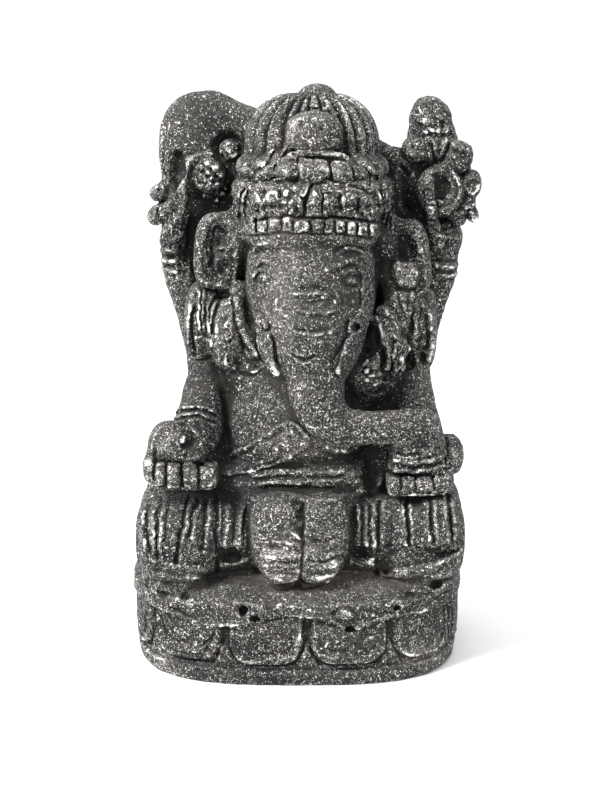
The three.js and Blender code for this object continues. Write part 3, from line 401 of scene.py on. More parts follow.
def lay(c, rel, reach=7.0, back=7.0, front=6.0):
    """Lays the relief on the clay where the picture's camera sees it."""
    us, vs, Y = depth_map(c, rel.x0, rel.y0, rel.x1, rel.y1, 1.0)
    Yf = np.where(np.isnan(Y), 1e3, Y)
    # where the surface turns away from the eye the relief is let down
    g = np.hypot(np.gradient(Yf, axis=0), np.gradient(Yf, axis=1)); g = np.where(g > 30, 1.2, g)
    for ax in (0, 1):
        g = (np.roll(g, 1, ax) + np.roll(g, -1, ax) + 2 * g) / 4; g = (np.roll(g, 2, ax) + np.roll(g, -2, ax) + 2 * g) / 4
    slant = np.clip(1.35 / (0.35 + g), 0.25, 1)
    d = c.d; m = np.abs(d) < reach
    ix, iy, iz = np.nonzero(m)
    x = c.ax[0][ix]; y = c.ax[1][iy]; z = c.ax[2][iz]
    F, U = VIEW.F, VIEW.U; C = VIEW.C
    zc = (y - C[1]) * F[1] + (z - C[2]) * F[2]; yc = (y - C[1]) * U[1] + (z - C[2]) * U[2]
    u = VIEW.U0 + VIEW.FPX * x / zc; v = VIEW.V0 - VIEW.FPX * yc / zc
    ok = (u > rel.x0 + 1) & (u < rel.x1 - 2) & (v > rel.y0 + 1) & (v < rel.y1 - 2)
    i = np.clip(np.round(u - rel.x0).astype(int), 0, Yf.shape[1] - 1); j = np.clip(np.round(v - rel.y0).astype(int), 0, Yf.shape[0] - 1)
    near = np.minimum(np.minimum(Yf[j, i], Yf[j, np.clip(i + 1, 0, Yf.shape[1] - 1)]), Yf[j, np.clip(i - 1, 0, Yf.shape[1] - 1)])
    depth = y - near
    w = np.clip((back - depth) / 2.5, 0, 1) * np.clip((depth + front) / 2.0, 0, 1) * ok
    r = rel.sample(u, v) * slant[j, i]
    d[ix, iy, iz] = d[ix, iy, iz] - (r * w).astype(F32)

# ---------------------------------------------------------------- main forms
A, B, NB = 117.0, 92.0, 2.75        # seat: half width, half depth, how square its plan is
RIM_H, LIP_H, SEAT_H = 11.0, 58.0, 70.0
N_PETAL = 13; PETAL0 = 3.5

def at(u, v, y): return VIEW.at(u, v, y)

def make(h, detail=True):
    c = Clay((-124, -102, -3), (137, 98, 407), h)
    base(c, detail)
    body(c)
    legs(c, detail)
    head(c, detail)
    arms(c, detail)
    if detail:
        rear(c)
        carve(c)
    # flat underside
    c.d = np.maximum(c.d, (-c.ax[2])[None, None, :])
    return c

def lip_edge(th):
    """height of the draped lip's lower edge round the seat; th in degrees, 0 at the front, + to the viewer's right"""
    def g(m, w, a): 
        d = (th - m + 180) % 360 - 180
        return a * np.exp(-(d / w) ** 2)
    return 46.5 + g(-26, 11, -5.0) + g(-2, 9, 4.0) + g(19, 7, -6.5) + g(36, 8, 1.0) + g(-62, 10, 3.0) + g(75, 14, 4.0) + np.where(np.abs(th) > 95, 3.0 * np.cos(np.radians(th) * 13), 0)

def fluted(c, o, r, p, cuts, wide, deep, bulge, where=None, k=3):
    """A rounded drum whose side is parted by upright grooves at the given angles, 0 at the front."""
    o = np.asarray(o, float); a = np.arange(-180, 180.5, 0.5)
    cuts = sorted((q + 180) % 360 - 180 for q in cuts); e = np.array([cuts[-1] - 360] + cuts + [cuts[0] + 360])
    near = np.abs(a[:, None] - e[None]).min(1); i = np.clip(np.searchsorted(e, a) - 1, 0, len(e) - 2); half = (e[i + 1] - e[i]) / 2
    def f(x, y, z):
        X, Y, Z = x - F32(o[0]), y - F32(o[1]), z - F32(o[2])
        q = (np.abs(X / F32(r[0])) ** F32(p) + np.abs(Y / F32(r[1])) ** F32(p) + np.abs(Z / F32(r[2])) ** F32(p)) ** F32(1 / p)
        l = np.sqrt(X * X + Y * Y + Z * Z)
        d = l * (q - 1) / np.maximum(q, F32(0.05))
        th = np.degrees(np.arctan2(X, -Y)); ro = np.sqrt(X * X + Y * Y)
        n = np.interp(th, a, near); h = np.interp(th, a, half)
        w = np.clip((ro - 12) / 10, 0, 1)
        if where is not None: w = w * where(th)
        m = deep * np.exp(-(n * 0.01745 * ro / wide) ** 2) - bulge * (1 - (1 - np.clip(n / h, 0, 1)) ** 2)
        return (d + w * m).astype(F32)
    half_ = np.asarray(r, float) + bulge
    c.press(f, o - half_, o + half_, k)

def base(c, detail=True):
    a, b = A, B
    def f(x, y, z):
        foot = np.clip((24 - z) / 24, 0, 1).astype(F32)
        ax_, ay_ = np.abs(x / (F32(a) - 3.6 * foot)), np.abs(y / (F32(b) + 0.9 * foot))
        nb = (NB + 0.2 * foot).astype(F32)
        rho = (ax_ ** nb + ay_ ** nb) ** (1 / nb)
        ln = np.sqrt(x * x + y * y)
        dr = ln - ln / np.maximum(rho, F32(0.02))            # mm outside the plan, along the ray
        th = np.degrees(np.arctan2(x / F32(a), -y / F32(b)))
        le = lip_edge(th).astype(F32)
        per = 360.0 / N_PETAL
        s = ((th - PETAL0) / per); s = s - np.floor(s) - 0.5   # -0.5..0.5 across a petal
        sx = s * 54.0
        # petal face: a rounded tongue from under the lip to the rim
        hw, z0, rc = 24.5, RIM_H + 3.0, 15.0
        qx, qz = np.abs(sx) - (hw - rc), (z0 + rc) - z
        dp = np.where((qx > 0) & (qz > 0), np.sqrt(np.maximum(qx, 0) ** 2 + np.maximum(qz, 0) ** 2) - rc, np.maximum(qx, qz) - rc)
        inside = np.clip(-dp / 2.0, 0, 1)
        border = np.exp(-((dp + 2.2) / 1.6) ** 2)
        pet = -5.5 + 5.0 * inside * (1 - 0.25 * np.abs(s) * 2) + 0.9 * border
        # the small leaf that shows between two petals
        sx2 = (0.5 - np.abs(s)) * 54.0
        tip = (z0 + 19.0 - z) * 0.42 - sx2
        pet = np.maximum(pet, -5.5 + 3.2 * np.clip(tip / 2.0, 0, 1))
        rim = np.where(z < 3, -(3 - z) * 0.7, 0.0) + 0 * th
        off = np.where(z < RIM_H, rim - 0.3, np.where(z < RIM_H + 2.2, -3.0 + 0 * pet, pet))
        under = np.clip((le - z) / 5.0, 0, 1)
        lip = 0.8 - 0.05 * (z - le)
        off = np.where(z > le, lip, off * 1.0 - 1.0 * (1 - under))
        d = (dr - off) * 0.92
        inn = np.clip(-dr, 0, 45)
        top = (z - (LIP_H + 0.34 * inn - 0.002 * inn * inn)) * 0.93
        return np.maximum(np.maximum(d, top), -z).astype(F32)
    c.press(f, (-a - 4, -b - 4, -3), (a + 4, b + 4, SEAT_H + 14), k=0)

def body(c):
    E = lambda u, v, y, r, k=4, **q: c.ell(at(u, v, y), r, k=k, **q)
    E(297, 512, 22, (86, 52, 36), k=4, p=2.4)          # hips and seat of the robe
    E(296, 425, -8, (54, 47, 46), k=5)                 # belly
    E(312, 370, 2, (66, 42, 42), k=8)                  # chest
    E(306, 400, 24, (72, 38, 86), k=8, p=2.5)          # back
    E(312, 340, 20, (76, 34, 40), k=8, p=2.4)          # shoulders behind the tresses
    # webs of stone between arms and body
    for sd in (-1, 1): c.tube([(sd * 56 + 8, 4, 196), (sd * 54 + 6, -4, 168), (sd * 52 + 4, -14, 136)], [14, 15, 17], k=6)
    c.ell((2, -22, 128), (58, 36, 20), k=5, p=2.6)
    c.tube([at(166, 497, -18), at(200, 490, -6)], [15, 19], k=6); c.tube([at(434, 497, -18), at(400, 490, -6)], [15.5, 19], k=6)
    # the slab that fills in behind head and raised arms
    c.ell((11.5, 33, 285), (74, 18, 84), k=8, p=2.8)
    c.tube([at(212, 190, 34), at(215, 250, 34), at(222, 310, 34), at(232, 370, 32)], [33, 31, 28, 26], k=6, flat=(1, 2.2, 1))
    c.tube([at(418, 190, 34), at(412, 250, 34), at(402, 310, 34), at(392, 370, 32)], [31, 30, 27, 25], k=6, flat=(1, 2.2, 1))
    c.ell((10.3, 20, 330), (47, 36, 46), k=6, p=2.3)
    E(245, 150, 26, (30, 18, 30), k=6)
    E(388, 189, 26, (30, 16, 28), k=6)

def legs(c, detail=True):
    E = lambda u, v, y, r, k=3, **q: c.ell(at(u, v, y), r, k=k, **q)
    # knees: drums of pleated robe
    E(179, 532, -34, (28.2, 46, 29), k=4, p=3.2)
    E(421.5, 531, -34, (28.2, 46, 29), k=4, p=3.2)
    E(181, 566, -26, (27.0, 46, 9), k=4, p=2.6)
    E(419.5, 566, -26, (27.2, 46, 9), k=4, p=2.6)
    E(436, 500, -36, (15.5, 36, 11), k=4, p=2.6)
    E(205, 515, 10, (44, 50, 38), k=8, p=2.4)
    E(396, 513, 10, (44, 50, 38), k=8, p=2.4)
    # shins under the robe
    c.tube([at(196, 534, -44), at(228, 533, -42), at(262, 532, -40)], [28, 27, 25], k=4)
    c.tube([at(405, 534, -44), at(372, 533, -42), at(330, 532, -40)], [28, 27, 25], k=4)
    # soles, pressed together, let into the robe
    E(300, 503, -50, (39, 19, 10.5), k=8, p=2.6); E(302, 518, -60, (11, 11, 18), k=7)
    c.ell((-14.0, -65, 100.0), (17.8, 14.5, 30.0), rot=(11, -3, 0), k=7, p=3.1)
    c.ell((18.3, -65, 100.0), (17.0, 14.5, 30.0), rot=(11, 3, 0), k=7, p=3.1)
    c.ell((-9.5, -75.5, 82), (15.5, 9, 14.5), rot=(18, -14, 0), k=5, p=2.4)
    c.ell((13.5, -75.5, 82), (15.0, 9, 14.5), rot=(18, 14, 0), k=5, p=2.4)

def head(c, detail=True):
    E = lambda u, v, y, r, k=3, **q: c.ell(at(u, v, y), r, k=k, **q)
    E(311, 278, -8, (45.5, 48, 46), k=4, p=2.5)       # skull
    c.tube([at(314, 285, -22), at(313.5, 312, -30), at(313.5, 332, -38), at(315.5, 352, -46), at(316, 372, -53), at(316.5, 392, -58), at(322, 410, -61), at(338, 425, -63), at(364, 428, -63), at(398, 427, -61), at(424, 426, -56)],
           [41, 39.5, 35, 27, 20.5, 18.7, 16.5, 14, 11.5, 11.5, 11.5], k=5)
    c.ell((9.5, -7.5, 306), (48.2, 48.2, 20.5), k=4, p=2.8)        # brow under the diadem
    back = lambda th: np.clip((np.abs(th) - 62) / 14, 0, 1)
    fluted(c, (10.3, -4, 318), (51.0, 48.0, 9), 2.8, [4 + 9 * i for i in range(-20, 20)], 1.3, 1.7, 1.3, back)      # the band of teeth
    fluted(c, (10.3, -4, 329.5), (54.0, 50.5, 12.5), 3.0, [12 + 24 * i for i in range(-8, 8)], 1.6, 2.2, 1.5, back)   # diadem
    if detail:
        for th in range(72, 296, 24):
            p = np.array([10.3 + 51.6 * math.sin(math.radians(th)), -4 - 48.2 * math.cos(math.radians(th)), 329.5])
            c.ell(p, 4.8, k=1.0); c.ell(p + (p - [10.3, -4, 329.5]) / 51 * 4.4, 1.8, k=0.8, cut=True)
    soft = lambda th: 0.40 + 0.60 * np.clip((np.abs(th) - 50) / 20, 0, 1)
    fluted(c, (10.5, -2.5, 344), (50.5, 49.0, 14), 2.4, [-170, -148, -126, -103, -80, -54, -31, -13, 14.5, 34, 53, 70, 92, 115, 137, 158], 1.9, 2.4, 2.0, soft)    # petals above it
    fluted(c, at(312, 152, 6), (45.0, 44.4, 40.3), 2.5, [-172, -155, -138, -121, -105, -90, -73, -57, -42, -26, -15, -5, 11, 28, 38.5, 51, 64, 77, 91, 106, 122, 139, 156], 1.4, 2.9, 1.7, k=2)  # ribbed cap
    E(317, 101, 2, (14.4, 15, 11.9), k=1.5)            # finial
    E(314, 132, -36, (18.4, 14, 13.2), k=0.8, p=2.5)            # boss
    c.tube([at(286, 158, -46), at(299, 154.5, -48), at(332, 154.5, -48), at(347, 158, -46)], [1.6, 2.3, 2.3, 1.6], k=1.0)    # collar under the boss
    # strands that come down behind the diadem at the sides
    c.tube([at(245, 186, -10), at(241, 203, -10), at(241, 220, -8), at(246, 238, -8)], [4.0, 5.4, 5.6, 4.2], k=2)
    c.tube([at(378, 186, -10), at(382.5, 203, -10), at(383, 221, -8), at(379, 240, -8)], [4.0, 5.4, 5.6, 4.6], k=2)
    # tusks and the round end of the one on the right
    if detail:
        c.tube([at(258, 322, -46), at(260, 334, -50), at(264, 348, -54), at(270, 361, -57), at(277, 373, -60)], [2.2, 3.3, 3.6, 3.2, 2.2], k=1.0)
        c.tube([at(357, 327, -44), at(353, 338, -50), at(348, 352, -54), at(342, 364, -57), at(337, 374, -60)], [3.2, 3.4, 3.2, 2.8, 2.0], k=1.0)
    # ears
    E(218, 250, -10, (16.5, 8, 27), rot=(0, 5, 14), k=2, p=3.0); E(236, 250, 2, (12, 16, 24), k=3); E(236, 234, -4, (11, 15, 19), rot=(0, 0, 20), k=4, p=2.3)
    E(411, 258, -10, (13.5, 8, 27), rot=(0, -7, -14), k=2, p=2.8); E(392, 258, 2, (12, 16, 24), k=3); E(387, 240, -5, (12, 15, 19), rot=(0, 0, -20), k=4, p=2.3); E(385, 272, -4, (8, 14, 13), k=3)
    # tresses and tassels that fall from them on the shoulders
    E(202, 318, 2, (12.5, 18, 27), rot=(0, 4, 0), k=2.5, p=2.6)
    E(231, 335, -10, (16.5, 17, 26), rot=(0, -8, 0), k=2.5, p=2.6)
    c.tube([at(240, 290, -14), at(243, 318, -18), at(255, 352, -26)], [7, 7.5, 6], k=2)
    E(400, 318, -2, (16, 15, 26), rot=(0, -4, 0), k=3, p=2.4)
    E(424, 325, 8, (8.5, 14, 27), rot=(0, 4, 0), k=2.5, p=2.4)
    E(382, 345, -12, (13, 14, 26), rot=(0, 12, 0), k=3, p=2.4)
    E(362, 378, -30, (14, 12, 12), k=3)
    if detail:
        E(405.5, 273, -14, (11.0, 9, 12.4), k=1.5, p=2.3)
        c.tube([at(399, 290, -12), at(400, 304, -15), at(401, 320, -16), at(402, 337, -15)], [12.5, 12.0, 8.0, 3.0], k=1.5, flat=(1, 1.5, 1))
        c.tube([at(411, 306, -11), at(413, 322, -13), at(411, 343, -13)], [3.0, 3.2, 2.6], k=1.0)
        c.tube([at(417, 297, -4), at(422, 310, -7), at(424, 325, -8), at(422, 340, -7)], [4.0, 5.4, 5.4, 4.6], k=1.2)
        c.tube([at(427, 308, -4), at(431.5, 321, -6), at(431, 343, -6), at(428, 362, -4)], [2.2, 3.4, 3.3, 3.0], k=1.0)
        c.tube([at(382, 312, -24), at(388, 328, -26), at(399, 342, -25)], [5, 5.5, 4], k=1.5)
        c.tube([at(374, 322, -28), at(384, 340, -30), at(389, 352, -30), at(386, 366, -28)], [5, 5.2, 4.4, 3], k=1.5)
        c.tube([at(400, 344, -20), at(401, 357, -22), at(396, 371, -22)], [5.6, 6.4, 4.2], k=1.5)
        c.tube([at(366, 345, -38), at(372, 358, -38), at(371, 370, -36)], [4.5, 5.5, 5.0], k=1.5)

def arms(c, detail=True):
    E = lambda u, v, y, r, k=3, **q: c.ell(at(u, v, y), r, k=k, **q)
    # front arms
    c.tube([at(208, 352, 4), at(208, 375, 0), at(205, 394, -6)], [15.5, 14.2, 14.8], k=4)
    c.tube([at(205, 394, -6), at(199, 425, -30), at(186, 450, -50)], [14.8, 17.4, 15], k=5)
    c.ell(at(175, 444, -50), (18, 15, 14.5), rot=(0, 30, 0), k=3, p=2.3)
    c.ell(at(160.5, 449, -44), (9, 14, 15.2), rot=(0, 12, 0), k=4, p=2.3)
    for i, (u, v) in enumerate(((151, 467), (160, 472), (174, 474), (191, 475.5), (208.5, 475))):
        c.ell(at(u, v, -58 + 2.5 * abs(i - 2.2)), (5.2 if i in (0, 1) else 7.2, 13, 9.3), k=2.5, p=3.0)
    c.ell(at(185, 478, -52), (21, 12, 7), k=3, p=3)
    c.tube([at(408, 352, 4), at(411, 378, 0), at(413, 400, -6)], [14.5, 14.0, 14.5], k=4)
    c.tube([at(413, 400, -6), at(418.5, 428, -28), at(424, 466, -46)], [13.6, 16.2, 17], k=5)
    E(448, 454, -30, (10.5, 22, 13.2), k=5, p=2.3)
    # the bowl and the knuckles round it
    c.ell(at(416, 450, -52), (18, 14, 13), k=4, p=2.8)
    c.ell(at(416, 464, -51), (19.5, 15, 6), k=3, p=2.6)
    c.box(at(412, 483, -54), (17.5, 13, 6.4), rnd=4, k=3)
    c.ell(at(442, 480, -52), (8.0, 14, 9.0), k=3, p=2.6)
    # rear arms
    c.tube([at(204, 348, 22), at(192, 308, 25), at(179, 272, 25), at(175.5, 250, 24), at(175, 226, 22)], [13, 12, 11.2, 10.2, 9.6], k=3)
    c.tube([at(416, 348, 22), at(425, 315, 25), at(434, 288, 25), at(440, 270, 25), at(442, 254, 25), at(446, 236, 24)], [12.5, 12, 12.1, 12.3, 11.6, 12], k=4)
    # what they hold
    E(202.5, 145, 24, (30.5, 15, 37), k=3, p=2.22)
    c.tube([at(215, 110, 24), at(240, 122, 18), at(262, 135, 12)], [12, 12, 10], k=6)
    c.tube([at(173, 240, 14), at(175, 226, 9), at(182, 212, 6), at(184, 200, 5), at(182, 186, 5), at(183, 172, 5), at(190, 162, 6), at(201, 156.5, 7), at(213, 155, 9)], [9.5, 8, 5.4, 4.2, 3.8, 3.8, 3.8, 3.6, 3.2], k=1.5)
    E(209, 175, 7, (11.5, 11, 11.8), k=1.5); E(215, 196, 12, (9, 9, 4.5), k=1.5)
    c.tube([at(167, 140, 20), at(166, 158, 16), at(167, 178, 13), at(160, 196, 12)], [4.6, 3.8, 3.6, 4.3], k=2)
    E(158.5, 193.5, 10, (6.5, 7, 5.6), k=1.2)
    c.tube([at(156, 216, 12), at(164, 211, 10), at(174, 204, 8)], [6.4, 7.4, 5.5], k=1.5)
    E(430.5, 118.5, 22, (14.9, 14, 13.4), k=2); E(427.5, 106, 22, (8.6, 9, 7.0), k=4)
    c.tube([at(430, 125, 22), at(432, 140, 22)], [14, 18], k=2)
    E(436, 178, 26, (25, 11, 28), k=3, p=2.3)
    E(415, 149, 12, (9.2, 9, 9.0), k=1.2, p=2.3)                                     # bosses either side of the notch
    E(456.5, 157, 12, (11.2, 9, 11.6), rot=(0, 20, 0), k=1.2, p=2.3)
    c.tube([at(431, 128, 12), at(431, 142, 10), at(431, 157, 9)], [9.0, 6.5, 2.6], k=1.2)   # the tongue that hangs in the notch
    E(396, 160, 16, (11, 8, 9), rot=(0, 35, 0), k=1.5)
    E(398, 176, 18, (10, 8, 7), rot=(0, 30, 0), k=1.5)
    E(471, 184, 14, (7.2, 8, 10.2), k=1.2, p=2.2)
    E(465, 206, 14, (6.2, 7, 5.6), k=1.2); E(471.5, 213, 15, (4.6, 6, 7.6), rot=(0, -25, 0), k=1.2); E(456, 213, 14, (7.5, 7, 5.0), k=1.5); E(459, 220, 14, (4.6, 6, 4.6), k=1.5); E(468, 200, 14, (5.4, 6, 5.0), k=1.5)
    # ring with a crescent inside, and the beaded rod before it
    c.ell(at(440.5, 190.5, 12), (17.6, 12, 18.2), k=1.5)
    c.ell(at(441, 190, 2.5), (12.4, 9.5, 13.2), k=1.0, cut=True)
    c.tube([at(440, 172, 8), at(449, 177, 8), at(454.5, 188, 8), at(452, 199, 8), at(443, 205, 8), at(437, 201, 8)], [1.6, 2.4, 2.8, 2.6, 2.2, 1.4], k=1.0)
    c.tube([at(428.5, 181, 3), at(429.5, 192, 2), at(431, 206, 3), at(433, 222, 6), at(437, 240, 10)], [3.9, 3.5, 3.5, 4.2, 6.0], k=1.0)

def rear(c):
    """The plainer carving of the back and the sides: cap ribs, head band, locks of hair, belt, sash and folds of the robe."""
    d = c.d; m = np.abs(d) < 7
    for k in range(3):
        e = [slice(None)] * 3; e[k] = 0; m[tuple(e)] = False; e[k] = -1; m[tuple(e)] = False
    ix, iy, iz = np.nonzero(m)
    gy = (d[ix, iy + 1, iz] - d[ix, iy - 1, iz]) / F32(2 * c.h); gx = (d[ix + 1, iy, iz] - d[ix - 1, iy, iz]) / F32(2 * c.h)
    back = np.clip(gy * 2.4 - 0.5, 0, 1)
    keep = (back > 0) | (np.abs(gx) > 0.3)
    ix, iy, iz, gx, back = ix[keep], iy[keep], iz[keep], gx[keep], back[keep]
    x, y, z = c.ax[0][ix], c.ax[1][iy], c.ax[2][iz]
    X = x - F32(10.3); r = np.zeros_like(x)
    span = lambda v, a, b, e: np.clip((v - a) / e, 0, 1) * np.clip((b - v) / e, 0, 1)
    line = lambda q, w: np.exp(-(q / w) ** 2)
    def near(v, cuts):
        return np.abs(v[:, None] - np.asarray(cuts, F32)[None]).min(1)
    wave = 1.5 * np.sin(x * 0.11 + 1.0) + 1.1 * np.sin(z * 0.13 + 2.0) + 0.8 * np.sin((x + z) * 0.23)
    behind = back * np.clip((y - 24) / 8, 0, 1)
    # ribs of the cap carried down to the band
    cut = near(np.arcsin(np.clip(X / 48, -1, 1)), np.radians([-60, -42, -25, -8, 8, 24, 41, 58]))
    r += behind * span(z + 0.2 * wave, 346, 378, 3) * span(X, -44, 44, 5) * (1.0 - 3.4 * line(cut * 46, 1.9))
    # petals over the band
    cut = near(X, [-37, -23, -8, 7, 22, 37]); lobe = 338.5 + 0.02 * (7.5 - np.minimum(cut, 7.5)) ** 2 * 1.2
    r += behind * span(z, 333, 350, 2) * span(X, -48, 48, 4) * (2.2 - 3.2 * line(cut, 1.7))
    # band with bosses
    zb = z + 0.015 * X * X * 0.3
    r += behind * span(X, -50, 50, 3) * (1.9 * span(zb, 318, 333, 1.8) - 1.6 * line(zb - 334, 1.3) - 1.4 * line(zb - 317, 1.3))
    k = np.round(X / 12.5); q = np.hypot(X - k * 12.5, zb - 325.5)
    r += behind * span(X, -50, 50, 3) * np.where(q < 5.2, 1.7 * np.sqrt(np.clip(1 - (q / 5.2) ** 2, 0, 1)), 0) - behind * span(X, -50, 50, 3) * 1.2 * line(q - 5.8, 0.9)
    # locks of hair
    t = np.clip((318 - z) / 104, 0, 1); gap = 10.4 * (1 + 0.16 * t)
    q = (X + 1.6 * np.sin(z / 15.0) * t + 0.6 * wave * t) / gap; k = np.round(q); s = q - k
    tip = 207 + 2.1 * k * k + 5.0 * np.cos(k * 2.4); on = span(k, -5.6, 5.6, 0.5) * np.clip((z - tip) / 3 - (np.abs(s) * 2) ** 2 * 2.0, 0, 1) * np.clip((316.5 - z) / 1.5, 0, 1)
    hair = 3.0 * (1 - (2 * np.abs(s)) ** 2.2) + 0.35 * np.cos(s * 19) - 1.1 * line((np.abs(s) - 0.5) * gap, 1.0)
    low = np.clip((y - 40) / 5, 0, 1)
    r += back * low * on * hair
    r -= back * low * span(k, -5.6, 5.6, 0.5) * np.clip((316.5 - z) / 1.5, 0, 1) * 1.5 * line(np.minimum(z - tip + 2.0 - 6 * np.abs(s), 0) + 0.0, 2.6) * (z < tip + 4)
    # arms told from the slab, with their rings
    for sd, x0, z0, x1, z1 in ((-1, -52, 188, -68, 296), (1, 66, 188, 84, 296)):
        tt = np.clip((z - z0) / (z1 - z0), 0, 1); xc = x0 + (x1 - x0) * tt + wave * 0.5
        r -= behind * span(z, z0 - 6, z1 + 6, 8) * 2.4 * line(x - xc, 2.4)
        for zz in (262, 269, 276):
            zq = z - zz - 0.05 * sd * x
            r += back * np.clip(sd * (x - xc) / 3, 0, 1) * (1.5 * line(zq, 2.1) - 0.8 * line(zq - 3.6, 1.1))
    # spine and shoulder blades
    r -= behind * span(z, 150, 216, 12) * 1.8 * line(X + 2, 5.5)
    for sd in (-1, 1): r += behind * 2.0 * line(np.hypot(X + 2 - sd * 26, (z - 196) * 0.7), 17)
    # sash from the shoulder to the belt
    q = (x * 0.62 + z * 0.785 - 160) + wave * 0.6
    on = behind * span(z, 143, 214, 4) * span(x, -60, 62, 6)
    r += on * (1.7 * span(q, -7.5, 7.5, 1.6) - 1.1 * line(np.abs(q) - 8.6, 1.1) - 0.7 * line(q + 3.5, 0.9) - 0.7 * line(q - 3.0, 0.9))
    # belt and its knot
    zq = z - 136 + 0.0006 * X * X + wave * 0.4; on = np.clip((y - 8) / 10, 0, 1) * np.clip(1.4 - np.abs(np.clip(back, 0, 1) - 1) * 1.2, 0, 1)
    r += on * (2.4 * span(zq, -5.5, 5.5, 1.6) - 1.3 * line(np.abs(zq) - 6.8, 1.2) - 0.9 * line(zq - 0.3, 0.9))
    q = np.hypot((X + 4) / 11, (z - 135) / 8.5); r += behind * 3.6 * np.sqrt(np.clip(1 - q * q, 0, 1)) - behind * 1.2 * line(q - 1.1, 0.09)
    for sx, lean in ((-7, -0.16), (0, 0.12)):
        q = (X + 4 - sx) + lean * (z - 130) ; r += behind * span(z, 88, 129, 3) * (2.0 * np.clip(1 - (q / 5.6) ** 2, 0, 1) - 0.9 * line(np.abs(q) - 6.0, 1.0) - 0.5 * line(q, 0.8))
    # folds of the robe over the hips, hung from the knot
    a = np.abs(X + 4) / 100; q = (z - 64 + 24 * np.sqrt(a + 0.02) + wave * 0.35 + 1.6 * np.sin(x * 0.045 + z * 0.03 + 0.5)) / 9.5
    fold = q - np.floor(q)
    on = np.clip((y - 4) / 14, 0, 1) * span(z, 66, 128, 5) * np.clip((a - 0.10) / 0.05, 0, 1)
    r += on * (1.5 * np.sin(np.pi * fold) ** 1.5 - 1.9 * line(np.minimum(fold, 1 - fold) * 9.5, 1.3))
    # folds round the knees' outer sides
    q = (np.hypot((y - 22) * 0.8, (z - 84) * 1.25) + wave * 0.4) / 10.5; fold = q - np.floor(q)
    on = np.clip((np.abs(gx) - 0.45) / 0.25, 0, 1) * span(z, 68, 132, 6) * span(y, -70, 14, 9) * (np.abs(x) > 84)
    r += on * (1.3 * np.sin(np.pi * fold) ** 1.5 - 1.7 * line(np.minimum(fold, 1 - fold) * 10.5, 1.3))
    # what the hands hold, from behind
    for xc, zc, rr, n in ((-64.5, 338, 17, 5), (98, 318, 12, 9)):
        q = np.hypot(x - xc, z - zc); th = np.arctan2(z - zc, x - xc) * n / (2 * np.pi)
        out = behind * (y < 46) * (1.6 * line(q - rr, 2.0) - 1.2 * line(q - rr - 3.4, 1.2) - 1.2 * line(q - rr + 3.4, 1.2) - 1.5 * span(q, rr + 4, rr + 18, 3) * line(np.minimum(th - np.floor(th), 1 - th + np.floor(th)) * q * 2 * np.pi / n, 1.3))
        r += out * (np.abs(x - xc) < 34)
    d[ix, iy, iz] = d[ix, iy, iz] - r.astype(F32)

# ---------------------------------------------------------------- carving
def panel(x0, y0, k):
    """Turns coordinates of an enlarged part of the view into the view's own."""
    return lambda *p: [(x0 + x / k, y0 + y / k) for x, y in p]

def carve(c):
    deep(c)
    r = Relief()
    crown(r); face(r); left_side(r); right_side(r); held(r); hands(r); lap(r); knees(r); feet(r); seat(r)
    weather(r)
    lay(c, r)
    holes(c)

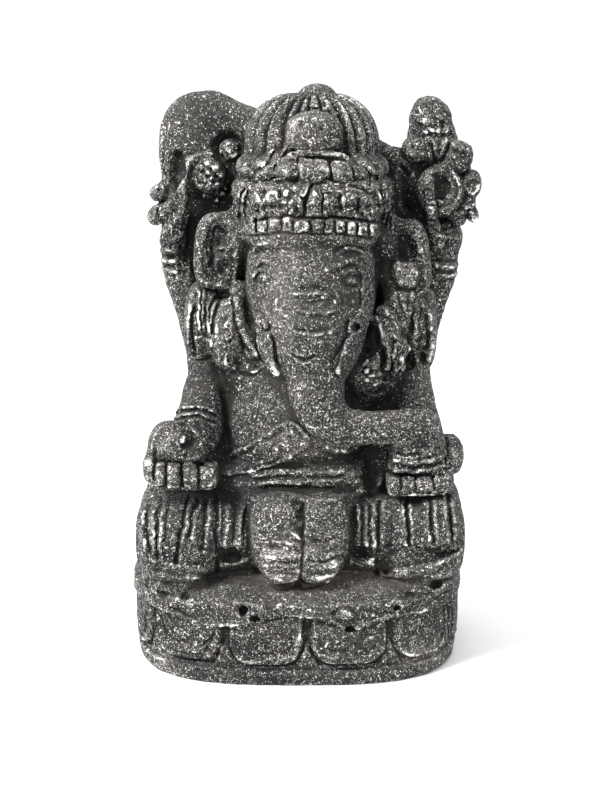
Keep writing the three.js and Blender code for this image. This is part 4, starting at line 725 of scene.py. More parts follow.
def deep(c):
    at = VIEW.at
    E = lambda u, v, y, r, k=1.2, **q: c.ell(at(u, v, y), r, k=k, **q)
    # under the bud: the round recess with its ball, the hollow beside the strip, the hollow below the hand
    E(226, 146, 6, (11.5, 11, 11.5), k=1.5, cut=True)
    E(230, 149.5, 12, (7.4, 7, 7.4), k=1.0)
    c.tube([at(177, 158, 4), at(177, 172, 2), at(175, 183, 2)], [6.0, 6.4, 4.0], k=1.5, cut=True, flat=(1, 0.45, 1))
    c.tube([at(217, 203, 2), at(207, 215, 4), at(200, 232, 6), at(197, 250, 8), at(197, 262, 10)], [9.5, 9.5, 8.0, 6.0, 3.5], k=2.0, cut=True, flat=(1, 0.6, 1))
    c.tube([at(233, 176, 0), at(228, 196, 4), at(220, 206, 6)], [4.0, 5.0, 5.0], k=1.5, cut=True, flat=(1, 0.5, 1))
    # between the right attribute and the crown, and behind the rod
    c.tube([at(405, 172, 6), at(409, 195, 6), at(412, 215, 8), at(418, 240, 10)], [5.0, 6.5, 6.5, 5.0], k=2.0, cut=True, flat=(1, 0.6, 1))
    c.tube([at(396, 190, 4), at(402, 215, 6)], [5.0, 5.0], k=2.0, cut=True, flat=(1, 0.6, 1))
    # between ear and face, tress and cheek
    c.tube([at(244, 259, -20), at(243, 270, -18), at(241.5, 281, -18)], [1.4, 2.1, 1.4], k=1.0, cut=True, flat=(1, 0.4, 1))
    c.tube([at(376, 268, -26), at(376.5, 280, -26), at(377, 292, -24)], [1.8, 2.4, 2.0], k=1.0, cut=True, flat=(1, 0.4, 1))
    # hollows of the ears
    c.tube([at(219, 227, -19), at(212, 233, -18), at(209.5, 248, -18), at(210, 262, -18)], [3.6, 3.4, 2.6, 1.8], k=1.2, cut=True)
    E(221, 236, -19, (6.5, 5.0, 8.0), k=2.0, cut=True)
    c.tube([at(224, 268, -19), at(219, 272, -18)], [3.2, 2.4], k=1.2, cut=True)
    c.tube([at(403, 234, -18), at(409, 240, -18), at(411, 252, -18)], [3.2, 4.0, 3.0], k=1.5, cut=True)
    E(405, 248, -18, (6.0, 6.0, 8.5), k=2.0, cut=True)
    # beside the trunk and under the tassels on the right
    E(368, 340, -34, (9, 10, 15), k=2.5, cut=True, rot=(0, 20, 0))
    E(407, 361, -14, (4.0, 9, 8.0), k=1.5, cut=True)
    E(381, 392, -30, (9, 7, 3.2), k=1.5, cut=True)
    # palm of the hand with the sweet; hollow behind the bowl
    c.tube([at(190, 434, -60), at(194, 446, -63), at(188, 454, -66)], [5.0, 6.5, 4.0], k=2.5, cut=True)
    c.tube([at(374, 446, -44), at(372, 466, -40), at(371, 486, -40)], [5.0, 7.5, 6.5], k=3.0, cut=True)
    # under the knees beside the feet
    E(234, 560, -70, (9.5, 9, 5.5), k=2.0, cut=True)
    E(359, 560, -70, (7.5, 9, 7.5), k=2.0, cut=True)
    c.tube([at(382, 562, -82), at(425, 560, -83), at(456, 553, -74)], [3.6, 4.2, 3.0], k=3, cut=True)
    # pits of the lip
    for u, v, q in ((243, 610, 3.6), (255.5, 618, 3.2), (185, 597, 2.8), (396, 608, 3.0), (438, 585, 3.6), (349, 630, 2.2)):
        p = c.hit(u, v)
        if p is not None: c.ell(p, (q, q + 1.5, q * 0.8), k=1.0, cut=True)

def holes(c):
    pass

def crown(r):
    P = panel(240, 85, 10.116)
    L = lambda pts, w, a, **q: r.line(P(*pts), w / 10.116, a * 1.5, **q)
    E = lambda x, y, rx, ry, a, **q: r.ell(240 + x / 10.116, 85 + y / 10.116, rx / 10.116, ry / 10.116, a * 1.8, **q)
    G = lambda pts, a, soft=18, dome=0.0, **q: r.poly(P(*pts), a * 1.7, (soft + 8) / 10.116, dome * 2.2, **q)
    # ribs of the cap: grooves that run from the knob down behind the petals
    L([(540, 150), (640, 140), (760, 130), (880, 140), (1000, 165)], 9, -1.0)
    L([(845, 170), (850, 250)], 8, -0.8)
    # boss, with its worn flower
    G([(480, 430), (520, 350), (620, 290), (750, 272), (880, 290), (990, 370), (1030, 450), (1030, 560), (985, 650), (750, 668), (530, 655), (480, 580)], 2.2, 22, 1.2)
    for x, y, a in ((620, 400, -1.6), (812, 440, -1.9), (700, 545, -1.5), (590, 540, -1.2), (860, 570, -1.2), (930, 500, -1.0), (700, 350, -0.8), (640, 470, -0.8), (775, 600, -1.0)): E(x, y, 38, 34, a)
    for x, y, rx, ry, a in ((530, 430, 40, 60, 1.0), (720, 425, 50, 32, 1.4), (795, 490, 30, 24, 1.2), (895, 385, 36, 30, 1.0), (550, 590, 40, 30, 0.9), (720, 620, 46, 26, 1.1), (940, 600, 34, 34, 0.9), (650, 330, 60, 20, .6), (880, 470, 26, 40, .8)): E(x, y, rx, ry, a)
    L([(470, 600), (455, 500), (480, 410), (530, 335), (620, 268), (750, 245), (890, 265), (1000, 340), (1052, 440), (1062, 540), (1040, 640)], 13, -1.5)
    for x0, y0, x1, y1 in ((545, 165, 520, 250), (655, 158, 648, 235), (790, 160, 800, 232), (850, 175, 862, 245), (940, 180, 960, 270)): L([(x0, y0), (x1, y1)], 9, -1.3)
    L([(700, 170), (702, 232)], 14, 0.7); L([(895, 185), (905, 250)], 14, 0.6)
    # collar
    L([(500, 700), (550, 690), (760, 688), (1010, 690), (1060, 702)], 9, 1.0)
    L([(560, 732), (760, 728), (1010, 734)], 12, -1.1)
    # leaves beside the collar
    for pts in ([(165, 800), (220, 715), (320, 655), (345, 665), (300, 740), (220, 830)], [(320, 770), (360, 690), (460, 638), (470, 660), (420, 730), (350, 790)],
                [(1190, 700), (1260, 720), (1300, 790), (1270, 830), (1210, 790)], [(1290, 790), (1340, 810), (1375, 880), (1340, 905), (1290, 860)], [(1090, 670), (1170, 680), (1200, 740), (1130, 740)]):
        G(pts, 1.6, 16, 0.8)
    L([(190, 820), (260, 720), (340, 665)], 8, -0.9); L([(345, 790), (390, 700), (465, 645)], 8, -0.9)
    E(515, 690, 36, 36, 1.4); E(538, 702, 16, 16, -1.8)
    # petals over the diadem: rounded tongues with a rim
    for pts, a in (
        ([(-60, 900), (-20, 860), (70, 835), (130, 880), (100, 950), (-30, 1010)], 1.4),
        ([(95, 975), (170, 880), (280, 805), (350, 795), (345, 920), (200, 970)], 1.4),
        ([(345, 935), (360, 840), (410, 765), (500, 738), (572, 745), (575, 930), (480, 945)], 1.4),
        ([(585, 755), (738, 762), (742, 860), (650, 930), (590, 960)], 1.6),
        ([(748, 764), (885, 768), (892, 930), (800, 930), (748, 880)], 1.5),
        ([(922, 778), (1040, 768), (1110, 810), (1142, 900), (1150, 985), (1000, 985), (925, 950)], 1.5),
        ([(1150, 822), (1230, 815), (1290, 880), (1312, 1000), (1165, 990)], 1.4),
        ([(1318, 905), (1375, 940), (1412, 1050), (1330, 1040)], 1.8),
        ([(1372, 862), (1440, 868), (1485, 950), (1440, 980), (1385, 920)], 1.6),
        ([(1440, 990), (1490, 1010), (1520, 1120), (1470, 1130)], 1.4),
    ): G(pts, a, 14, 0.9)
    for pts in ([(580, 750), (580, 930)], [(744, 765), (744, 870)], [(906, 770), (908, 945)], [(1146, 820), (1158, 985)], [(348, 800), (346, 930)], [(1312, 890), (1318, 1010)]): L(pts, 8, -1.7)
    L([(360, 920), (430, 905), (540, 920)], 12, 0.8); L([(940, 960), (1040, 950), (1130, 960)], 12, 0.6)
    for x, y in ((450, 840), (1010, 870), (650, 850), (820, 850)): E(x, y, 50, 40, 0.5)
    L([(362, 800), (420, 752), (500, 742), (572, 748)], 7, 0.9); L([(590, 762), (660, 754), (738, 764)], 7, 0.9); L([(750, 768), (820, 760), (892, 772)], 7, 0.9); L([(926, 782), (1035, 772), (1108, 812), (1140, 890)], 7, 0.9); L([(1154, 826), (1228, 820), (1288, 884)], 7, 0.9)
    # dark seam above the diadem's panels
    L([(180, 985), (330, 935), (440, 935), (545, 1000)], 10, -1.4)
    # left panel of the diadem, its scalloped edge, rosette and leaves
    G([(175, 1000), (240, 950), (320, 945), (345, 965), (430, 940), (500, 965), (560, 1040), (520, 1180), (420, 1330), (250, 1335), (170, 1200)], 1.3, 12)
    L([(185, 985), (235, 955), (310, 940), (340, 968), (425, 942), (495, 962), (545, 1010)], 11, 1.3)
    L([(215, 1010), (300, 1000), (345, 1020), (430, 1000), (500, 1050)], 14, -0.9)
    E(330, 1130, 78, 72, 2.0); E(330, 1130, 30, 28, -0.9); E(400, 1100, 26, 50, -1.6); E(255, 1090, 22, 40, -1.2)
    for a in range(6): E(330 + 55 * math.cos(a * 1.047 + .3), 1130 + 52 * math.sin(a * 1.047 + .3), 24, 22, 0.8)
    for x, y in ((470, 1090), (450, 1180), (280, 1250), (370, 1260), (450, 1270)): E(x, y, 36, 30, 1.1)
    for x, y in ((325, 1215), (415, 1215), (320, 1300), (420, 1320)): E(x, y, 18, 18, -1.0)
    for pts in ([(110, 1230), (110, 1150), (165, 1085), (215, 1180), (235, 1240), (170, 1250)], [(75, 1250), (90, 1180), (150, 1250), (150, 1350), (90, 1400), (85, 1330)], [(155, 1300), (190, 1235), (238, 1280), (235, 1345), (175, 1350)]): G(pts, 1.7, 12, 0.5)
    E(186, 1272, 17, 22, -2.2); L([(90, 1240), (120, 1320), (95, 1390)], 7, -1.0); L([(140, 1120), (160, 1200)], 7, -0.8)
    # folded ribbon that crosses the middle
    G([(545, 1005), (630, 925), (720, 850), (800, 905), (845, 945), (780, 985), (700, 1020), (680, 1090), (640, 1132), (560, 1090)], 2.6, 14, 0.8)
    for t in (0, .25, .5, .75, 1): L([(560 + 130 * t, 1010 - 120 * t), (640 + 110 * t, 1080 - 130 * t)], 7, -0.9)
    G([(500, 1180), (560, 1105), (625, 1165), (640, 1300), (560, 1250), (500, 1325), (488, 1250)], 2.2, 13, 0.6)
    for x, y in ((540, 1190), (590, 1200), (520, 1270), (600, 1270)): E(x, y, 20, 20, 0.9)
    E(565, 1230, 16, 20, -1.0)
    L([(745, 995), (695, 1060), (662, 1180), (650, 1320)], 13, -1.4)
    # right panel
    G([(745, 1010), (850, 962), (960, 1000), (1030, 970), (1130, 990), (1260, 1012), (1345, 1045), (1405, 1110), (1432, 1200), (1400, 1330), (1000, 1330), (670, 1325), (680, 1180)], 1.2, 12)
    L([(850, 965), (965, 1000), (1025, 972), (1130, 992), (1255, 1014), (1340, 1045), (1400, 1105), (1430, 1195), (1405, 1310)], 12, 1.4)
    L([(990, 1040), (1100, 1030), (1240, 1060), (1330, 1110), (1360, 1220)], 14, -1.0)
    G([(690, 1315), (700, 1220), (762, 1080), (815, 1220), (822, 1315)], 2.2, 11, 0.5)
    for y in (1160, 1225, 1285): L([(705, y + 16), (760, y - 18), (810, y + 16)], 8, -0.9)
    E(880, 1092, 36, 22, -1.6); E(880, 1240, 56, 60, 1.3); E(870, 1190, 22, 20, 1.0); E(925, 1255, 22, 22, 1.2); E(865, 1300, 24, 20, 1.1); E(905, 1210, 14, 14, -1.2); E(940, 1150, 34, 34, 0.9)
    E(1010, 1170, 22, 90, -1.8); L([(835, 1080), (835, 1310)], 10, -1.6)
    E(1100, 1175, 84, 88, 1.9); E(1100, 1175, 26, 26, -1.2); E(1060, 1200, 24, 26, 1.0)
    for a in range(7): E(1100 + 62 * math.cos(a * .9), 1175 + 64 * math.sin(a * .9), 24, 24, 0.9)
    E(1200, 1200, 24, 80, -1.7); E(1290, 1210, 76, 90, 1.7); E(1290, 1215, 26, 26, -1.2)
    for a in range(6): E(1290 + 54 * math.cos(a * 1.05), 1215 + 60 * math.sin(a * 1.05), 22, 22, 0.8)
    E(1335, 1280, 24, 24, 1.5); E(1320, 1350, 30, 26, 1.2); E(1385, 1180, 12, 60, -1.6)
    # strands at the right side of the head
    for k, pts in enumerate(([(1432, 1080), (1465, 1180), (1470, 1290), (1440, 1400)], [(1470, 1090), (1505, 1200), (1510, 1320), (1480, 1440)], [(1505, 1110), (1540, 1220), (1545, 1340), (1520, 1460)])):
        L(pts, 14, 1.6); L([(x - 20, y + 4) for x, y in pts], 10, -1.8)
    for pts in ([(20, 1040), (-20, 1120), (-40, 1220), (-30, 1330)], [(60, 1060), (30, 1140), (15, 1240), (25, 1340)]):
        L(pts, 14, 1.5); L([(x + 20, y) for x, y in pts], 9, -1.4)
    # the row of teeth
    L([(60, 1400), (180, 1355), (400, 1340), (640, 1330), (900, 1335), (1150, 1350), (1400, 1380)], 12, -1.4)
    xs = [(120, 34, 1440), (225, 44, 1430), (340, 50, 1415), (475, 46, 1410), (635, 62, 1425), (785, 48, 1430), (905, 46, 1435), (1016, 38, 1440), (1122, 40, 1450), (1240, 48, 1455), (1350, 40, 1465)]
    for k, (x, w, y) in enumerate(xs):
        G([(x - w, y - 60), (x + w, y - 60), (x + w * .9, y + 60 - 16 * (k % 3 == 1)), (x - w * .9, y + 62)], 1.1, 16, 0.3)
        E(x, y + 15, w * .4, 26, -0.9 if k in (3, 6, 7, 9) else 0.5)
        if k: 
            g = (x - w + xs[k - 1][0] + xs[k - 1][1]) / 2
            L([(g, y - 62), (g, y + 55)], 10, -1.3)
    L([(80, 1520), (300, 1500), (640, 1505), (1000, 1515), (1380, 1560)], 12, -0.9)

def face(r):
    k = 9.8; P = panel(235, 230, k)
    L = lambda pts, w, a, **q: r.line(P(*pts), w / k, a, **q)
    E = lambda x, y, rx, ry, a, **q: r.ell(235 + x / k, 230 + y / k, rx / k, ry / k, a, **q)
    G = lambda pts, a, soft=18, dome=0.0, **q: r.poly(P(*pts), a, soft / k, dome, **q)
    # left eye
    E(270, 490, 120, 100, -1.6)
    E(275, 476, 62, 52, 2.4); E(275, 470, 30, 28, 0.9)
    L([(145, 485), (190, 440), (235, 402), (300, 408), (350, 450)], 17, 2.0)
    L([(190, 545), (260, 545), (340, 510)], 13, 1.1)
    L([(205, 355), (280, 292), (350, 322), (405, 372)], 14, 1.3)
    L([(215, 380), (280, 330), (350, 355)], 14, -0.9)
    L([(140, 280), (175, 205), (250, 150), (345, 138), (435, 180)], 20, 1.5)
    L([(170, 250), (250, 195), (340, 185)], 18, -0.7)
    E(185, 575, 36, 50, -1.3)
    # right eye
    E(1130, 490, 110, 90, -1.7)
    E(1135, 490, 54, 52, 2.2); E(1175, 495, 22, 30, 1.2); E(1150, 430, 28, 14, 1.4)
    L([(1060, 440), (1130, 405), (1200, 430)], 14, 1.3)
    L([(1040, 560), (1080, 615), (1150, 605), (1190, 560)], 14, 1.3)
    L([(900, 410), (945, 378), (1000, 352), (1090, 312), (1185, 300)], 18, 1.7)
    L([(1000, 400), (1090, 360), (1180, 350)], 16, -1.2)
    L([(990, 235), (1120, 180), (1225, 200), (1285, 285), (1325, 390)], 16, 1.2)
    L([(1000, 190), (1130, 140), (1250, 170)], 14, -1.1)
    L([(1210, 350), (1262, 450), (1255, 600), (1245, 720), (1235, 820)], 12, 1.0)
    L([(1185, 370), (1235, 470), (1225, 620), (1215, 740)], 10, -0.9)
    L([(1290, 400), (1310, 560), (1290, 720)], 12, -0.9)
    # trunk's root: its outline and creases
    L([(415, 500), (400, 640), (392, 780), (402, 890), (455, 975)], 16, 1.1)
    L([(375, 560), (365, 700), (370, 860)], 22, -1.0)
    L([(992, 560), (1002, 680), (990, 780)], 14, 0.8)
    L([(430, 490), (480, 465), (560, 455)], 10, 0.9); L([(700, 445), (790, 430), (865, 435)], 10, 0.9); L([(560, 500), (700, 490), (860, 480)], 9, 0.6)
    L([(600, 575), (760, 565), (900, 575)], 22, -1.3)
    L([(545, 628), (700, 628), (860, 620), (975, 628)], 17, 1.9)
    L([(560, 680), (760, 700), (960, 690)], 18, -0.5)
    E(790, 725, 170, 50, -1.5)
    L([(600, 790), (720, 806), (860, 806), (990, 788)], 17, 1.8)
    L([(520, 830), (620, 850), (760, 850)], 14, 0.5)
    L([(560, 962), (680, 982), (800, 982), (920, 966)], 19, -1.0)
    L([(515, 935), (600, 1000), (740, 1030), (860, 1010), (925, 1010), (985, 958)], 16, 1.4)
    L([(560, 1080), (700, 1090), (850, 1080)], 12, -0.5)
    L([(545, 1225), (620, 1262), (710, 1268), (800, 1232)], 15, -1.6)
    L([(570, 1290), (680, 1310), (790, 1290)], 12, 0.8)
    L([(330, 330), (470, 250), (640, 210), (820, 215), (960, 260)], 40, 0.6)
    # cheeks
    L([(182, 680), (185, 760), (200, 830)], 12, 0.9)
    L([(105, 600), (120, 740), (170, 880), (240, 1000)], 14, -0.8)
    # tusks in their sockets
    G([(180, 860), (215, 815), (275, 830), (330, 930), (300, 990), (240, 985), (195, 930)], 1.8, 20, 0.8)
    L([(275, 845), (325, 925), (345, 985)], 11, -1.8)
    E(270, 965, 24, 24, -1.0)
    G([(236, 1020), (290, 995), (345, 1040), (372, 1180), (412, 1400), (360, 1410), (300, 1340), (245, 1190)], 3.2, 26, 1.2)
    L([(300, 1120), (330, 1250), (365, 1370)], 7, -0.8); L([(262, 1130), (292, 1240), (330, 1340)], 7, -0.6)
    L([(360, 1060), (395, 1220), (430, 1400)], 16, -2.4)
    r.ring(235 + 1183 / k, 230 + 945 / k, 60 / k, 62 / k, 22 / k, 2.2); E(1188, 950, 30, 34, -1.8)
    L([(1110, 880), (1085, 960), (1100, 1040)], 12, -1.4)
    G([(1110, 1050), (1195, 1010), (1205, 1080), (1180, 1170), (1105, 1300), (1015, 1425), (985, 1380), (1050, 1210)], 2.6, 24, 1.0)
    L([(1075, 1050), (1040, 1140), (975, 1215), (930, 1330)], 14, -1.6)
    L([(1130, 1100), (1110, 1200), (1060, 1290), (1010, 1360)], 12, 0.6)
    # trunk below: soft creases
    for y, w in ((1150, .5), (1380, .6), (1450, .5)): L([(430, y + 20), (600, y + 36), (800, y + 24)], 12, -w)

def left_side(r):
    k = 8.96; P = panel(185, 205, k)
    L = lambda pts, w, a, **q: r.line(P(*pts), w / k, a, **q)
    E = lambda x, y, rx, ry, a, **q: r.ell(185 + x / k, 205 + y / k, rx / k, ry / k, a, **q)
    G = lambda pts, a, soft=18, dome=0.0, **q: r.poly(P(*pts), a, soft / k, dome, **q)
    # ear: folded rim, hollow, inner fold
    G([(260, 210), (330, 190), (400, 280), (430, 420), (440, 640), (330, 700), (180, 650), (225, 420)], -2.6, 30)
    L([(420, 190), (370, 110), (310, 80), (240, 100), (180, 180), (150, 320), (135, 470), (110, 620)], 30, 1.6)
    L([(300, 175), (245, 210), (222, 330), (212, 460), (190, 570)], 12, 1.0)
    L([(195, 240), (172, 380), (158, 540)], 8, -1.4)
    L([(260, 215), (238, 300), (230, 420)], 12, -1.8)
    L([(95, 650), (180, 712), (300, 742), (430, 765), (480, 735)], 22, 2.0); L([(120, 725), (200, 765), (320, 790), (430, 812)], 12, -1.6)
    L([(270, 520), (330, 470), (420, 450), (460, 460)], 20, 1.6); L([(270, 400), (330, 370), (390, 365)], 18, 1.0)
    E(335, 410, 34, 20, -1.4); E(330, 585, 26, 34, -1.5); E(365, 530, 40, 18, -1.2); L([(470, 500), (450, 600), (440, 690)], 18, 1.2)
    E(290, 300, 40, 60, -0.8)
    L([(535, 470), (530, 570), (508, 680)], 20, -1.6)
    # strip at the outside
    L([(45, 860), (22, 980), (12, 1120), (18, 1260), (60, 1330)], 20, 1.8)
    L([(72, 900), (62, 1040), (66, 1180), (90, 1300)], 14, -2.4)
    for y in (930, 1010, 1090, 1170, 1250): E(18, y, 16, 26, 0.8)
    # ribbed strip and its end
    for pts, w, a in (([(125, 750), (118, 900), (125, 1130)], 12, 1.4), ([(165, 745), (158, 900), (165, 1130)], 11, 1.3), ([(270, 780), (220, 900), (192, 1040), (225, 1150)], 14, 1.6), ([(312, 790), (265, 900), (235, 980)], 12, 1.3),
                      ([(145, 750), (138, 900), (146, 1130)], 8, -1.3), ([(200, 760), (188, 900), (172, 1060)], 10, -1.6), ([(245, 850), (215, 960), (210, 1060)], 9, -1.4), ([(335, 800), (295, 905), (262, 1010), (240, 1150)], 17, -3.0), ([(95, 760), (88, 900), (95, 1120)], 10, -1.4)): L(pts, w, a)
    G([(88, 1175), (240, 1200), (225, 1330), (120, 1372), (95, 1290)], 1.6, 16, 0.4); L([(90, 1180), (240, 1205)], 12, 1.2)
    E(160, 1250, 30, 30, 1.2); E(195, 1300, 28, 24, 1.1); E(120, 1310, 22, 30, 1.0); E(140, 1290, 12, 14, -1.4); E(175, 1275, 11, 12, -1.2); L([(95, 1390), (180, 1385), (250, 1350)], 14, -1.6)
    # beaded strip with hooks
    G([(345, 800), (300, 940), (262, 1090), (280, 1250), (330, 1400), (400, 1490), (480, 1440), (500, 1200), (440, 1050), (430, 900)], 1.4, 20, 0.6)
    for x, y, q in ((392, 955, 36), (388, 1070, 34), (400, 1170, 30), (440, 1250, 34), (350, 870, 26)):
        r.ring(185 + x / k, 205 + y / k, q * .8 / k, q * .8 / k, 15 / k, 1.5)
    E(405, 1232, 22, 26, -2.2); E(345, 1030, 18, 40, -1.2); E(455, 1150, 16, 50, -1.2); E(520, 1250, 20, 50, -1.4)
    L([(325, 1170), (352, 1290), (372, 1360)], 9, 1.0); L([(372, 1170), (398, 1290)], 9, 1.0); L([(348, 1180), (375, 1300)], 8, -1.0)
    L([(370, 1350), (390, 1440), (460, 1490)], 18, 2.0); E(425, 1400, 26, 34, 1.4); E(395, 1385, 16, 20, -1.4)
    L([(600, 1500), (655, 1480), (692, 1440), (660, 1400)], 15, 1.8); E(640, 1440, 22, 18, -1.6); E(520, 1370, 40, 40, 0.9); E(470, 1400, 24, 50, -1.8); L([(480, 1500), (560, 1520), (640, 1520)], 20, -2.0)
    # strands beside the cheek
    L([(470, 790), (462, 900), (480, 1050), (535, 1180), (620, 1290), (690, 1380)], 30, 2.2)
    L([(470, 850), (478, 980), (520, 1110), (600, 1240)], 8, -0.9)
    L([(552, 850), (556, 1000), (600, 1110), (662, 1200)], 22, -3.2)
    L([(425, 800), (438, 930), (448, 1060), (500, 1200), (580, 1310)], 13, -2.2)
    L([(380, 795), (400, 880)], 16, 1.4)

def right_side(r):
    k = 8.04; P = panel(370, 205, k)
    L = lambda pts, w, a, **q: r.line(P(*pts), w / k, a, **q)
    E = lambda x, y, rx, ry, a, **q: r.ell(370 + x / k, 205 + y / k, rx / k, ry / k, a, **q)
    G = lambda pts, a, soft=18, dome=0.0, **q: r.poly(P(*pts), a, soft / k, dome, **q)
    G([(240, 235), (310, 218), (360, 270), (388, 380), (385, 460), (250, 440), (230, 320)], -2.8, 24)
    L([(175, 150), (270, 135), (350, 165), (405, 230), (432, 330), (455, 470), (468, 590), (450, 660)], 30, 1.7)
    L([(240, 232), (300, 212), (352, 252), (385, 350), (388, 470)], 12, 1.0)
    L([(420, 260), (445, 400), (460, 560)], 8, -1.3)
    L([(455, 660), (400, 715), (360, 705)], 18, 1.5)
    E(425, 640, 44, 46, -2.2)
    L([(300, 260), (330, 340), (350, 430)], 14, -1.2); L([(255, 330), (300, 370), (340, 430)], 12, 0.9)
    # boss of the ear ornament
    G([(195, 480), (250, 450), (320, 450), (375, 500), (385, 570), (365, 640), (300, 665), (230, 640), (195, 570)], 3.0, 22, 1.8)
    L([(205, 470), (270, 462), (330, 470)], 12, 1.2)
    for x, y, q, a in ((240, 555, 26, -1.6), (330, 600, 26, -1.8), (290, 545, 22, 1.2), (300, 625, 34, 1.5), (345, 540, 24, 1.0), (270, 490, 26, -0.9), (215, 600, 20, 1.0), (360, 570, 16, -1.2)): E(x, y, q, q, a)
    L([(200, 665), (290, 690), (370, 670)], 13, -1.6)
    # tassel
    G([(205, 690), (350, 690), (345, 860), (290, 930), (245, 1010), (190, 900), (130, 870), (80, 790), (150, 760)], 2.0, 20, 0.8)
    for pts, a in (([(215, 700), (240, 800), (275, 900)], -1.3), ([(310, 700), (305, 780), (290, 860)], -1.2), ([(265, 700), (270, 800), (285, 880)], 0.9), ([(150, 790), (210, 850), (250, 920)], -1.1), ([(225, 720), (300, 760), (345, 730)], 0.9)): L(pts, 10, a)
    L([(120, 870), (185, 900), (225, 960), (250, 1040)], 16, 1.8); L([(345, 700), (352, 800), (330, 900), (290, 960)], 10, 1.0)
    E(270, 830, 20, 26, 0.9); E(300, 880, 18, 20, 0.9)
    # leaf and strands outside it
    G([(362, 740), (405, 740), (440, 830), (440, 960), (400, 1060), (340, 1070), (352, 900)], 1.8, 16, 0.9)
    L([(362, 850), (368, 980), (332, 1065)], 12, 1.6); L([(350, 760), (342, 900), (320, 1020)], 12, -2.2); L([(400, 790), (405, 900), (392, 1000)], 9, -0.7)
    L([(452, 830), (498, 900), (514, 1050), (500, 1190), (462, 1265)], 24, 2.2); L([(450, 880), (462, 1000), (455, 1150)], 12, -2.2)
    for y in (900, 980, 1060, 1140): E(505, y, 16, 22, 0.9)
    G([(300, 1100), (400, 1095), (405, 1165), (320, 1175)], 1.6, 14, 0.4); E(350, 1130, 16, 14, -1.0)
    E(325, 1250, 44, 90, -3.2); E(420, 1230, 40, 50, -2.0)
    # loops below
    L([(60, 960), (110, 1080), (158, 1180), (150, 1290)], 24, 2.0); L([(30, 980), (70, 1100), (110, 1200), (100, 1300)], 18, -2.2)
    L([(170, 1040), (222, 1085), (205, 1140)], 16, 1.6)
    G([(200, 1120), (250, 1110), (285, 1160), (275, 1270), (215, 1350), (190, 1300), (180, 1200)], 2.4, 20, 1.2); L([(190, 1130), (172, 1220), (185, 1320)], 12, -2.0); L([(225, 1160), (225, 1240)], 10, -0.8)
    L([(292, 1040), (305, 1130), (290, 1260), (220, 1370)], 10, -1.8)
    for x, y, q in ((20, 1290, 34), (-30, 1330, 34), (10, 1370, 30), (-50, 1280, 26), (-20, 1410, 28), (40, 1240, 20)): E(x, y, q, q * .8, 2.0)
    for x, y in ((0, 1330), (-60, 1340), (50, 1330), (-10, 1250)): E(x, y, 16, 16, -2.0)
    L([(-60, 1130), (-20, 1200), (60, 1230)], 30, -2.4)
    L([(20, 1450), (90, 1440), (150, 1415)], 13, 1.4); E(90, 1395, 60, 24, -2.2)

